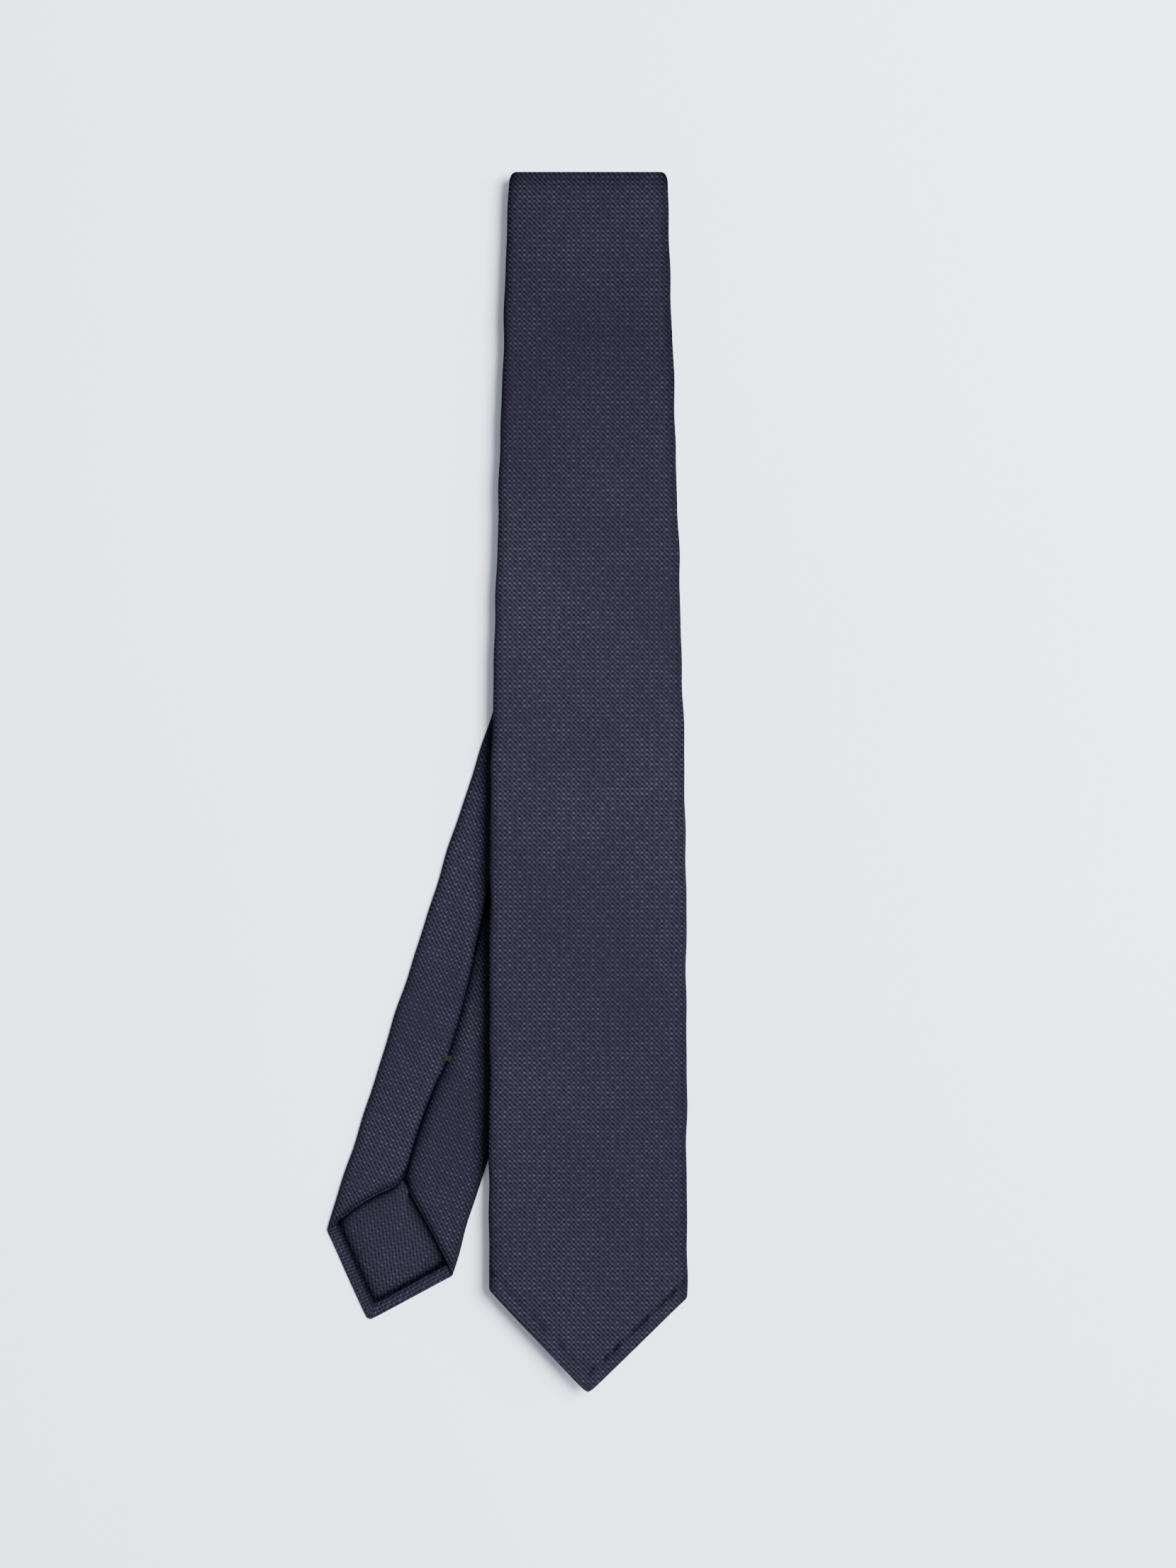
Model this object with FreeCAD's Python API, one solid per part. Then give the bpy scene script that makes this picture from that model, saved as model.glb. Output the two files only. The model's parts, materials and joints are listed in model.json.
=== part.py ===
"""A gentleman's necktie, folded flat into four layers with its tail swung out to one side.

Millimetres, +Z up. The tie lies on its tail. The origin is under the middle of its outline.
The layers, from the table up, are the tail, the neck layer, the under layer and the front blade.
"""
import FreeCAD
import Part
import math
import os

# ---- Driving dimensions -------------------------------------------------------------
TIE_LENGTH = 1480.0           # tip to tip, laid out straight
SHOWN_LENGTH = 491.0          # front blade, from its tip to the outside of the top fold
TAIL_LENGTH = 295.6           # tail, from its fold to its tip, along its middle
TAIL_SKEW = 17.3              # degrees that the tail is turned away from the blade
TAIL_FOLD_Y = 310.6           # where the tail's fold crosses the middle of the blade
# Half widths of the made-up tie: (distance from the blade's tip, half width)
HALF_WIDTHS = [
    (0.0, 40.0), (130.0, 39.8), (225.0, 39.35), (300.0, 37.7), (400.0, 34.8), (491.0, 31.9),
    (700.0, 25.6), (850.0, 21.2), (960.0, 19.5), (1060.0, 21.4), (1190.0, 24.8), (1480.0, 27.2),
]
BLADE_CORNER_LEFT = 42.3      # distance from the blade's tip back to each of its corners
BLADE_CORNER_RIGHT = 38.9
TAIL_CORNER_LEFT = 30.3       # the same at the tail's tip
TAIL_CORNER_RIGHT = 27.6

CLOTH = 0.4                   # one ply of the woven silk
LAYER = 2.0                   # the made-up tie: cloth, interlining, cloth
LINING_DEPTHS = (0.5, 1.25)   # interlining, measured down from the face of the cloth
TIPPING_DEPTHS = (1.32, 1.52)
SLIP_DEPTHS = (1.30, 1.40)    # slip-stitch thread
SEAM_DEPTHS = (1.44, 1.54)    # bias-seam stitches
HEM_STITCH_DEPTHS = (1.54, 1.8)
LAYER_GAP = 0.2               # air between stacked layers
BLADE_GAP = 0.7               # room under the front blade for its keeper loop
FOLD_GAP = 0.05               # between a flat layer and the bend that joins it to the next
LINING_INSET = 1.2            # interlining stops short of the cloth's folded edges
LINING_TIP_GAP = 3.0

BLADE_SEAM = 760.0            # bias seams, measured along the tie from the blade's tip
TAIL_SEAM = 1060.0
SEAM_ANGLE = 45.0
STITCH = (2.0, 0.3)           # length and width of one visible stitch
STITCH_PITCH = 3.5

BLADE_TIPPING_LENGTH = 95.0   # silk lining inside each end, from the tip
TAIL_TIPPING_LENGTH = 62.0
HEM = 5.2                     # turned-in edge round each tip
TACK_SIZE = (4.4, 2.5, 0.25)  # bar tack: across, along, thickness
BLADE_TACK = 102.0            # bar tacks, measured back from each tip
TAIL_TACK = 111.5
TAIL_TACK_OFFSET = 2.6        # the tail's centre seam runs this far to one side
KEEPER_PLACE = 225.0          # keeper loop on the back of the blade, from the tip
KEEPER_SIZE = (46.0, 15.0, 0.3)
KEEPER_SLOT = 0.12            # air that the tail's end slides through
KEEPER_END = 4.0              # sewn-down length at each end of the loop
LABEL_SIZE = (24.0, 34.0, 0.2)
LABEL_PLACE = 176.0

SIDE_SPANS = 8                # curve pieces along each long edge
BIG = 2000.0
V = FreeCAD.Vector
UP = V(0, 0, 1)

# ---- Heights of the layers and places of the folds -----------------------------------
TAIL_Z = 0.0
NECK_Z = TAIL_Z + LAYER + LAYER_GAP
UNDER_Z = NECK_Z + LAYER + LAYER_GAP
FRONT_Z = UNDER_Z + LAYER + BLADE_GAP


def bend_radius(low_z, high_z):
    """Radius of a fold's middle line, half the step from one layer to the next."""
    return (high_z - low_z) / 2


TOP_BEND = bend_radius(UNDER_Z, FRONT_Z)
BOTTOM_BEND = bend_radius(NECK_Z, UNDER_Z)
TAIL_BEND = bend_radius(TAIL_Z, NECK_Z)
TOP_FOLD_Y = SHOWN_LENGTH - TOP_BEND - LAYER / 2
BENDS = math.pi * (TOP_BEND + BOTTOM_BEND + TAIL_BEND)
BOTTOM_FOLD_Y = (2 * TOP_FOLD_Y + TAIL_FOLD_Y + TAIL_LENGTH + BENDS - TIE_LENGTH) / 2
UNDER_START = TOP_FOLD_Y + math.pi * TOP_BEND
NECK_START = UNDER_START + TOP_FOLD_Y - BOTTOM_FOLD_Y + math.pi * BOTTOM_BEND
TAIL_START = TIE_LENGTH - TAIL_LENGTH
FOLD_TILT = -TAIL_SKEW / 2    # the tail's fold line, turned from +X


def placed(x, y, angle):
    """A move in plan: turn about the vertical, then shift."""
    return FreeCAD.Placement(V(x, y, 0), FreeCAD.Rotation(UP, angle))


def tail_placement():
    """The tail's own strip, turned so that it leaves its fold down and to the left."""
    turn = FreeCAD.Rotation(UP, 180 - TAIL_SKEW)
    start = turn.multVec(V(0, TAIL_START, 0))
    return FreeCAD.Placement(V(0, TAIL_FOLD_Y, 0) - start, turn)


# name: (height of its underside, face of the cloth up, place of its strip in plan)
LAYERS = {
    "front": (FRONT_Z, True, placed(0, 0, 0)),
    "under": (UNDER_Z, False, placed(0, TOP_FOLD_Y + UNDER_START, 180)),
    "neck": (NECK_Z, True, placed(0, BOTTOM_FOLD_Y - NECK_START, 0)),
    "tail": (TAIL_Z, False, tail_placement()),
}


# ---- Outlines ------------------------------------------------------------------------
def slope(index):
    """Slope of the half width at one of its stations."""
    low = max(index - 1, 0)
    high = min(index + 1, len(HALF_WIDTHS) - 1)
    return (HALF_WIDTHS[high][1] - HALF_WIDTHS[low][1]) / (HALF_WIDTHS[high][0] - HALF_WIDTHS[low][0])


def half_width(s):
    """Half width of the tie at a distance along it, on a smooth curve through the stations."""
    index = 0
    while index < len(HALF_WIDTHS) - 2 and s > HALF_WIDTHS[index + 1][0]:
        index += 1
    s0, w0 = HALF_WIDTHS[index]
    s1, w1 = HALF_WIDTHS[index + 1]
    span = s1 - s0
    t = (s - s0) / span
    rise = (3 - 2 * t) * t * t
    start = t * (1 - t) ** 2
    end = t * t * (t - 1)
    return w0 + (w1 - w0) * rise + span * (start * slope(index) + end * slope(index + 1))


def side_edge(s_from, s_to, side, inset, corner=None):
    """One long edge of the strip, from a tip's corner where there is one."""
    curve = Part.BSplineCurve()
    step = (s_to - s_from) / SIDE_SPANS
    stations = [s_from + step * i for i in range(SIDE_SPANS + 1)]
    points = [V(side * (half_width(s) - inset), s, 0) for s in stations]
    if corner:
        points[0] = corner
    curve.interpolate(points)
    return curve.toShape()


def tip_points(tip, way, corner_minus, corner_plus, inset):
    """Corner, tip, corner: the pointed end, pulled in by the inset. way is +1 into the tie."""
    lean = [math.atan2(corner, half_width(tip)) for corner in (corner_minus, corner_plus)]
    points = [V(0, tip + way * inset / math.cos(sum(lean) / 2), 0)]
    for side, corner, angle in ((-1, corner_minus, lean[0]), (1, corner_plus, lean[1])):
        width = half_width(tip + way * corner) - inset
        back = width * math.tan(angle) + inset / math.cos(angle)
        points.append(V(side * width, tip + way * back, 0))
    return [points[1], points[0], points[2]]


def line(a, b):
    return Part.LineSegment(a, b).toShape()


def strip(s_from, s_to, inset=0.0):
    """A length of the tie as a flat face, square at both ends."""
    edges = [side_edge(s_from, s_to, side, inset) for side in (-1, 1)]
    for s in (s_from, s_to):
        width = half_width(s) - inset
        edges.append(line(V(-width, s, 0), V(width, s, 0)))
    return Part.Face(Part.Wire(Part.__sortEdges__(edges)))


def pointed_strip(tip_at_start, length, inset=0.0):
    """A length of the tie that ends in one of its tips, as a flat face."""
    if tip_at_start:
        tip, way = 0.0, 1
        corners = tip_points(tip, way, BLADE_CORNER_LEFT, BLADE_CORNER_RIGHT, inset)
    else:
        tip, way = TIE_LENGTH, -1
        corners = tip_points(tip, way, TAIL_CORNER_RIGHT, TAIL_CORNER_LEFT, inset)
    end = tip + way * length
    width = half_width(end) - inset
    edges = [
        side_edge(corners[0].y, end, -1, inset, corners[0]),
        side_edge(corners[2].y, end, 1, inset, corners[2]),
        line(V(-width, end, 0), V(width, end, 0)),
        line(corners[0], corners[1]),
        line(corners[1], corners[2]),
    ]
    return Part.Face(Part.Wire(Part.__sortEdges__(edges)))


def moved(solid, placement):
    """A copy of a solid, moved as a whole."""
    copy = solid.copy()
    copy.Placement = placement.multiply(copy.Placement)
    return copy


def half_plane(x, y, angle, keep_below):
    """A big flat box whose edge passes through a point in plan, turned by an angle."""
    box = Part.makeBox(2 * BIG, BIG, BIG, V(-BIG, -BIG if keep_below else 0, -BIG / 2))
    box.Placement = placed(x, y, angle)
    return box


def slab(layer, face, depths):
    """A flat face given its thickness, at its depth below the cloth's face, in its layer."""
    base, face_up, placement = LAYERS[layer]
    low = base + (LAYER - depths[1] if face_up else depths[0])
    solid = face.extrude(V(0, 0, depths[1] - depths[0]))
    solid.translate(V(0, 0, low))
    return moved(solid, placement)


def within(solid, *regions):
    for region in regions:
        solid = solid.common(region)
    return solid.Solids[0]


# ---- Fold lines, as regions that trim the layers --------------------------------------
ABOVE_BOTTOM = half_plane(0, BOTTOM_FOLD_Y + FOLD_GAP, 0, keep_below=False)
BELOW_TOP = half_plane(0, TOP_FOLD_Y - FOLD_GAP, 0, keep_below=True)
BELOW_TAIL_FOLD = half_plane(0, TAIL_FOLD_Y - FOLD_GAP, FOLD_TILT, keep_below=True)
REACH = 12.0                  # strips run past their folds by this much before trimming

REGIONS = {
    "front": [BELOW_TOP],
    "under": [BELOW_TOP, ABOVE_BOTTOM],
    "neck": [ABOVE_BOTTOM, BELOW_TAIL_FOLD],
    "tail": [BELOW_TAIL_FOLD],
}
SPANS = {
    "under": (UNDER_START - REACH, NECK_START),
    "neck": (NECK_START - REACH, TAIL_START + REACH),
}


def layer_face(layer, inset=0.0):
    """The whole plan of one layer, running a little past its folds."""
    if layer == "front":
        return pointed_strip(True, TOP_FOLD_Y + REACH, inset)
    if layer == "tail":
        return pointed_strip(False, TAIL_LENGTH + REACH, inset)
    return strip(*SPANS[layer], inset)


def shell(layer, *regions):
    """The silk of one layer: a flat tube, open at its folds and closed round its tip."""
    trims = REGIONS[layer] + list(regions)
    outside = within(slab(layer, layer_face(layer), (0, LAYER)), *trims)
    hollow = slab(layer, layer_face(layer, CLOTH), (CLOTH, LAYER - CLOTH))
    return outside.cut(hollow).Solids[0]


def interlining(layer):
    face = layer_face(layer, LINING_INSET)
    if layer == "front":
        face = pointed_strip(True, TOP_FOLD_Y + REACH, LINING_TIP_GAP)
    if layer == "tail":
        face = pointed_strip(False, TAIL_LENGTH + REACH, LINING_TIP_GAP)
    return within(slab(layer, face, LINING_DEPTHS), *REGIONS[layer])


def seam_side(layer, seam, before):
    """The part of a layer on one side of a bias seam."""
    _, _, placement = LAYERS[layer]
    gap = -FOLD_GAP if before else FOLD_GAP
    box = half_plane(0, seam + gap, SEAM_ANGLE, keep_below=before)
    return moved(box, placement)


# ---- Stitching ------------------------------------------------------------------------
def stitch(layer, u, s, angle, depths):
    """One stitch, centred on a point of the strip and turned in plan."""
    length, width = STITCH
    box = Part.makePlane(length, width, V(-length / 2, -width / 2, 0))
    box.Placement = placed(u, s, angle)
    return slab(layer, Part.Face(box.OuterWire), depths)


def seam_stitches(layer, seam):
    """A row of stitches along a 45 degree seam, from edge to edge."""
    reach = half_width(seam) - 3
    count = int(reach / (STITCH_PITCH * math.cos(math.radians(SEAM_ANGLE))))
    row = []
    for i in range(-count, count + 1):
        along = i * STITCH_PITCH
        u = along * math.cos(math.radians(SEAM_ANGLE))
        row.append(stitch(layer, u, seam + u, SEAM_ANGLE, SEAM_DEPTHS))
    return Part.makeCompound(row)


def slip_stitch(layer, s_from, s_to, offset=0.0):
    """The loose thread that closes the back, running up the middle."""
    width = STITCH[1]
    face = Part.makePlane(width, s_to - s_from, V(offset - width / 2, s_from, 0))
    return slab(layer, face, SLIP_DEPTHS)


def hem_stitches(layer, tip_at_start):
    """Small stitches that hold a tipping's edges under the two hems of a tip."""
    inset = HEM + STITCH[1]
    corners = tip_corners(tip_at_start, inset)
    row = []
    for start, end in ((corners[0], corners[1]), (corners[1], corners[2])):
        run = end.sub(start)
        angle = math.degrees(math.atan2(run.y, run.x))
        count = int(run.Length / (2 * STITCH_PITCH))
        for i in range(1, count):
            point = start + run * (i / count)
            row.append(stitch(layer, point.x, point.y, angle, HEM_STITCH_DEPTHS))
    return Part.makeCompound(row)


def tip_corners(tip_at_start, inset):
    if tip_at_start:
        return tip_points(0.0, 1, BLADE_CORNER_LEFT, BLADE_CORNER_RIGHT, inset)
    return tip_points(TIE_LENGTH, -1, TAIL_CORNER_RIGHT, TAIL_CORNER_LEFT, inset)


def bar_tack(layer, u, s):
    """A short dense block of thread across the seam, on the back of the tie."""
    across, along, thick = TACK_SIZE
    face = Part.makePlane(across, along, V(u - across / 2, s - along / 2, 0))
    return slab(layer, face, (LAYER + 0.01, LAYER + thick))


# ---- The back of each end, cut away to show its tipping ---------------------------------
def back_opening(tip_at_start):
    """The part of a back ply that is left open between the flaps and the hems, as a face."""
    corners = tip_corners(tip_at_start, HEM)
    way = 1 if tip_at_start else -1
    start = 0.0 if tip_at_start else TIE_LENGTH
    offset = 0.0 if tip_at_start else TAIL_TACK_OFFSET
    peak = BLADE_TIPPING_LENGTH - 8 if tip_at_start else TAIL_TIPPING_LENGTH - 8
    ring = [corners[0], corners[1], corners[2], V(offset, start + way * peak, 0), corners[0]]
    return Part.Face(Part.makePolygon(ring))


def opened(layer, solid, tip_at_start):
    hole = slab(layer, back_opening(tip_at_start), (LAYER - CLOTH - 0.02, LAYER + 1))
    return solid.cut(hole).Solids[0]


def tipping(layer, tip_at_start):
    length = BLADE_TIPPING_LENGTH if tip_at_start else TAIL_TIPPING_LENGTH
    return slab(layer, pointed_strip(tip_at_start, length, CLOTH + 0.3), TIPPING_DEPTHS)


def keeper_loop():
    """A flat band of the cloth, sewn down at its ends; the tail's end slides through it."""
    across, along, thick = KEEPER_SIZE
    stand = KEEPER_SLOT + 0.02
    low = V(-across / 2, KEEPER_PLACE - along / 2, 0)
    band = slab("front", Part.makePlane(across, along, low), (LAYER + 0.02, LAYER + stand + thick))
    slot_low = V(-across / 2 + KEEPER_END, low.y - 1, 0)
    slot = Part.makePlane(across - 2 * KEEPER_END, along + 2, slot_low)
    return band.cut(slab("front", slot, (LAYER, LAYER + stand))).Solids[0]


def keeper_stitches():
    """Two short bars of thread that hold the loop's ends."""
    across, along, thick = KEEPER_SIZE
    top = LAYER + KEEPER_SLOT + 0.02 + thick
    bars = []
    for side in (-1, 1):
        low = V(side * (across / 2 - KEEPER_END / 2) - 0.5, KEEPER_PLACE - along / 2 + 1.5, 0)
        bars.append(slab("front", Part.makePlane(1.0, along - 3, low), (top, top + 0.12)))
    return Part.makeCompound(bars)


def care_label():
    """A blank woven label, its upper edge caught in the back seam."""
    across, along, thick = LABEL_SIZE
    low = V(-across / 2, LABEL_PLACE - along, 0)
    return slab("front", Part.makePlane(across, along, low), (LAYER + 0.05, LAYER + 0.05 + thick))


# ---- Folds ------------------------------------------------------------------------------
def half_ring(outer, inner, half_length):
    """Half of a tube along X, on its +Y side."""
    start = V(-half_length, 0, 0)
    along = V(1, 0, 0)
    ring = Part.makeCylinder(outer, 2 * half_length, start, along)
    ring = ring.cut(Part.makeCylinder(inner, 2 * half_length, start, along))
    return ring.common(Part.makeBox(2 * half_length, outer, 2 * outer, V(-half_length, 0, -outer)))


def fold_shell(bend, half_length):
    """The silk round one fold: a bent flat tube, open at both ends."""
    outer = bend + LAYER / 2
    inner = bend - LAYER / 2
    hollow = half_ring(outer - CLOTH, inner + CLOTH, half_length - CLOTH)
    return half_ring(outer, inner, half_length).cut(hollow).Solids[0]


def fold_lining(bend, half_length, face_outside):
    """The interlining round one fold."""
    near, far = LINING_DEPTHS
    if face_outside:
        outer = bend + LAYER / 2 - near
    else:
        outer = bend - LAYER / 2 + far
    return half_ring(outer, outer - (far - near), half_length - LINING_INSET).Solids[0]


def at_fold(solid, y, z, turn, tilt=0.0):
    """Puts a fold in place; turn is 0 where it bulges to +Y and 180 where it bulges to -Y."""
    return moved(solid, FreeCAD.Placement(V(0, y, z), FreeCAD.Rotation(UP, turn + tilt)))


TOP_FOLD_AT = (TOP_FOLD_Y, UNDER_Z + LAYER / 2 + TOP_BEND, 0)
BOTTOM_FOLD_AT = (BOTTOM_FOLD_Y, NECK_Z + LAYER / 2 + BOTTOM_BEND, 180)
TAIL_FOLD_AT = (TAIL_FOLD_Y, TAIL_Z + LAYER / 2 + TAIL_BEND, 0, FOLD_TILT)


# ---- The whole tie -----------------------------------------------------------------------
def front_blade_nodes():
    return {
        "blade_shell_front": opened("front", shell("front"), True),
        "blade_interlining": interlining("front"),
        "blade_tipping": tipping("front", True),
        "blade_tipping_stitches": hem_stitches("front", True),
        "blade_bar_tack": bar_tack("front", 0.0, BLADE_TACK),
        "blade_slip_stitch": slip_stitch("front", BLADE_TACK, TOP_FOLD_Y - 1),
        "keeper_loop": keeper_loop(),
        "keeper_loop_stitches": keeper_stitches(),
        "care_label": care_label(),
    }


def under_layer_nodes():
    top = half_width(TOP_FOLD_Y)
    return {
        "blade_shell_under": shell("under", seam_side("under", BLADE_SEAM, True)),
        "neck_shell_under": shell("under", seam_side("under", BLADE_SEAM, False)),
        "blade_neck_seam_stitches": seam_stitches("under", BLADE_SEAM),
        "under_interlining": interlining("under"),
        "under_slip_stitch": slip_stitch("under", UNDER_START + 1, NECK_START - 6),
        "blade_shell_top_fold": at_fold(fold_shell(TOP_BEND, top), *TOP_FOLD_AT),
        "top_fold_interlining": at_fold(fold_lining(TOP_BEND, top, True), *TOP_FOLD_AT),
    }


def neck_layer_nodes():
    low = half_width(NECK_START)
    high = half_width(TAIL_START)
    return {
        "neck_shell_lower": shell("neck", seam_side("neck", TAIL_SEAM, True)),
        "tail_shell_upper": shell("neck", seam_side("neck", TAIL_SEAM, False)),
        "neck_tail_seam_stitches": seam_stitches("neck", TAIL_SEAM),
        "neck_interlining": interlining("neck"),
        "neck_slip_stitch": slip_stitch("neck", NECK_START + 1, TAIL_START - 6),
        "neck_shell_bottom_fold": at_fold(fold_shell(BOTTOM_BEND, low), *BOTTOM_FOLD_AT),
        "bottom_fold_interlining": at_fold(fold_lining(BOTTOM_BEND, low, False), *BOTTOM_FOLD_AT),
        "tail_shell_fold": at_fold(fold_shell(TAIL_BEND, high), *TAIL_FOLD_AT),
        "tail_fold_interlining": at_fold(fold_lining(TAIL_BEND, high, True), *TAIL_FOLD_AT),
    }


def tail_layer_nodes():
    tack = TIE_LENGTH - TAIL_TACK
    return {
        "tail_shell": opened("tail", shell("tail"), False),
        "tail_interlining": interlining("tail"),
        "tail_tipping": tipping("tail", False),
        "tail_tipping_stitches": hem_stitches("tail", False),
        "tail_bar_tack": bar_tack("tail", TAIL_TACK_OFFSET, tack),
        "tail_slip_stitch": slip_stitch("tail", TAIL_START + 8, tack, TAIL_TACK_OFFSET),
    }


def main():
    os.makedirs("parts", exist_ok=True)
    nodes = {}
    for make in (front_blade_nodes, under_layer_nodes, neck_layer_nodes, tail_layer_nodes):
        nodes.update(make())
    box = Part.makeCompound(list(nodes.values())).optimalBoundingBox(False, False)
    centre = V(-(box.XMin + box.XMax) / 2, -(box.YMin + box.YMax) / 2, -box.ZMin)
    for name, shape in nodes.items():
        shape.translate(centre)
        shape.exportStep(f"parts/{name}.step")
        print(name, "valid" if shape.isValid() else "INVALID", len(shape.Solids), round(shape.Volume, 1))
    print("shift", [round(v, 4) for v in centre], "size", box.XLength, box.YLength, box.ZLength)
    for name, fold, bend in (
        ("top_fold", TOP_FOLD_AT, TOP_BEND),
        ("bottom_fold", BOTTOM_FOLD_AT, BOTTOM_BEND),
        ("tail_fold", TAIL_FOLD_AT, TAIL_BEND),
    ):
        turn = FreeCAD.Rotation(UP, sum(fold[2:]))
        pivot = V(0, fold[0], fold[1]) + turn.multVec(V(0, bend, 0)) + centre
        axis = turn.multVec(V(1, 0, 0))
        print(name, "pivot", [round(v, 4) for v in pivot], "line", [round(v, 6) for v in axis])


main()
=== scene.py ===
"""A gentlemen's necktie, folded flat in four layers, with its cloth, linings and stitching.

The made-up tie is drawn flat first, in strip coordinates: s runs along it from the blade's tip, u runs
across it from its middle, v is measured round the cloth from the middle of its face, and n is the height
above its middle towards its face. Every piece is then carried onto the frame by the same fold maps, so the
layers, folds and stitching agree. Lengths are in millimetres until a mesh is made.
"""
import json
import math

import bpy
import numpy as np
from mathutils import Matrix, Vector


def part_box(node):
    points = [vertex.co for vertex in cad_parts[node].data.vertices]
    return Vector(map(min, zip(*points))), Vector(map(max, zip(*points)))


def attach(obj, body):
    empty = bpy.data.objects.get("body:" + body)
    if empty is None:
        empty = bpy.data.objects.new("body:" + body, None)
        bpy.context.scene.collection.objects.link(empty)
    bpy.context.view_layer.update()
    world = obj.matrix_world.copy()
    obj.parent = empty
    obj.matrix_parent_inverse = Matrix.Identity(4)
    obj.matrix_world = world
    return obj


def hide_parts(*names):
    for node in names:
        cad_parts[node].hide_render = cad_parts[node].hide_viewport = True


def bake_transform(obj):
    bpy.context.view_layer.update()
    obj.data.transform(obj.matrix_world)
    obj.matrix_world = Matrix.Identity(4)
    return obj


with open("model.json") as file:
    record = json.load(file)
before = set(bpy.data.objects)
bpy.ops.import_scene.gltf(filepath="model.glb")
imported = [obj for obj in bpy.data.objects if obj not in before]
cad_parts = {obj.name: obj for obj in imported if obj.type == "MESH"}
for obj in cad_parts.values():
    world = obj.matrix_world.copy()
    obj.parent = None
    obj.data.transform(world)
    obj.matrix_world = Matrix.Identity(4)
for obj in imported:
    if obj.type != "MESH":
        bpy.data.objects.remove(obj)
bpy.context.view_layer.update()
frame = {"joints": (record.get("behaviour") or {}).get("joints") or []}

MM = 0.001

# ---- Sizes of the made-up tie ----
TIE_LENGTH = 1480.0
HALF_WIDTHS = [
    (0.0, 40.0), (130.0, 39.8), (225.0, 39.35), (300.0, 37.7), (400.0, 34.8), (491.0, 31.9),
    (700.0, 25.6), (850.0, 21.2), (960.0, 19.5), (1060.0, 21.4), (1190.0, 24.8), (1480.0, 27.2),
]
# Free edge of the upper flap, across from the middle of the back
SEAM_LINE = [
    (0.0, -3.0), (110.0, -2.4), (300.0, -3.6), (491.0, -3.0), (700.0, -2.6), (900.0, -3.4),
    (1100.0, -2.8), (1230.0, -3.6), (1307.0, -5.0), (1343.0, -2.1), (1371.0, -1.4), (1383.0, -2.8),
    (1396.0, -3.7), (1409.0, -3.9), (1424.0, -3.4), (1480.0, -3.2),
]
BLADE_SEAM = 760.0
TAIL_SEAM = 1060.0
SEAM_DEPTH = 0.5

CLOTH = 0.36            # one ply of silk
LAYER = 1.9             # the whole made-up thickness
TIP_LAYER = 1.25        # the same at the very tips
ROLL = 1.3              # how far in from a side edge its roll starts
LAP = 8.0               # the upper flap's overlap of the lower one
FLAP_STEP = 0.1         # the lower flap lies this much deeper
FLAP_RISE = 0.0045      # the tail's open flaps stand up more the further they are from the neck, per mm
HEM = 5.2
BLADE_TIPPING = 95.0    # silk lining inside each end, measured from its tip
TAIL_TIPPING = 66.0
HEM_FOLD = 0.30         # radius of the hem's fold
TIP_ROUND = 0.8
CORNER_ROUND = 4.5      # rounding of the flaps' lower inner corners
FOLD_CORNER = (4.5, 2.4)  # rounding of a fold's ends: along, across
TIP_LEAN = 1.45         # distance along the tie for each mm straight in from a tip's slanting edge
SEAM_GAP = 0.05
SEAM_REACH = 110.0      # a bias seam slants the rows of cloth within this distance of it
APEX_REACH = 0.9        # rows are closest together within this distance of a fold's apex,
BEND_REACH = 4.5        # and fairly close within this one
PLAIN_STEP = 1.9        # spacing of the blade's columns
FINE_STEP = 0.12        # spacing of rows at a fold's apex
SHARP_ANGLE = 60        # degrees
TIPPING = 0.22          # one ply of lining silk
THREAD_RUN = 14.0       # length of one slip stitch

# ---- Where the frame puts it ----
JOINTS = {joint["name"]: joint for joint in frame["joints"]}
AXIS_X = JOINTS["top_fold"]["pos_m"][0] / MM
TIP_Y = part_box("blade_shell_front")[0].y / MM


def middle_height(node):
    low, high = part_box(node)
    return (low.z + high.z) / 2 / MM


FRONT_Z = middle_height("blade_shell_front")
UNDER_Z = middle_height("blade_shell_under")
NECK_Z = middle_height("neck_shell_lower")
TAIL_Z = middle_height("tail_shell")
HALF_LAYER = (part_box("tail_shell")[1].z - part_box("tail_shell")[0].z) / MM / 2
FACE = HALF_LAYER - 0.05  # height of the cloth's outer face above the middle of its layer


class Fold:
    """One fold of the tie: the end of its upper panel, the way it bulges and its bend."""

    def __init__(self, joint, upper, lower, out):
        x, y, _ = JOINTS[joint]["pos_m"]
        ax, ay, _ = JOINTS[joint]["axis"]
        self.out = np.array((-ay, ax)) * out
        self.radius = (upper - lower) / 2
        self.height = (upper + lower) / 2
        self.end = np.array((x / MM - AXIS_X, y / MM - TIP_Y)) - self.out * self.radius
        self.arc = math.pi * self.radius

    def bend(self, x, y, n):
        """A plan point and its height n above the middle, on the upper side, carried round the fold."""
        q = (x - self.end[0]) * self.out[0] + (y - self.end[1]) * self.out[1]
        turn = np.clip(q / self.radius, 0, math.pi)
        past = np.clip(q - self.arc, 0, None)
        reach = (self.radius + n) * np.sin(turn) - np.clip(q, 0, None) - past
        height = self.height + (self.radius + n) * np.cos(turn)
        return x + reach * self.out[0], y + reach * self.out[1], height


TOP = Fold("top_fold", FRONT_Z, UNDER_Z, -1)
BOTTOM = Fold("bottom_fold", UNDER_Z, NECK_Z, 1)
TURN = Fold("tail_fold", NECK_Z, TAIL_Z, 1)
UNDER_START = TOP.end[1] + TOP.arc
BOTTOM_AT = UNDER_START + TOP.end[1] - BOTTOM.end[1]
NECK_START = BOTTOM_AT + BOTTOM.arc
TURN_AT = NECK_START + TURN.end[1] - BOTTOM.end[1]
TURN_TILT = TURN.out[0] / TURN.out[1]
TOP_APEX = TOP.end[1] + TOP.arc / 2
BOTTOM_APEX = BOTTOM_AT + BOTTOM.arc / 2
TURN_APEX = TURN_AT + TURN.arc / 2


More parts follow.
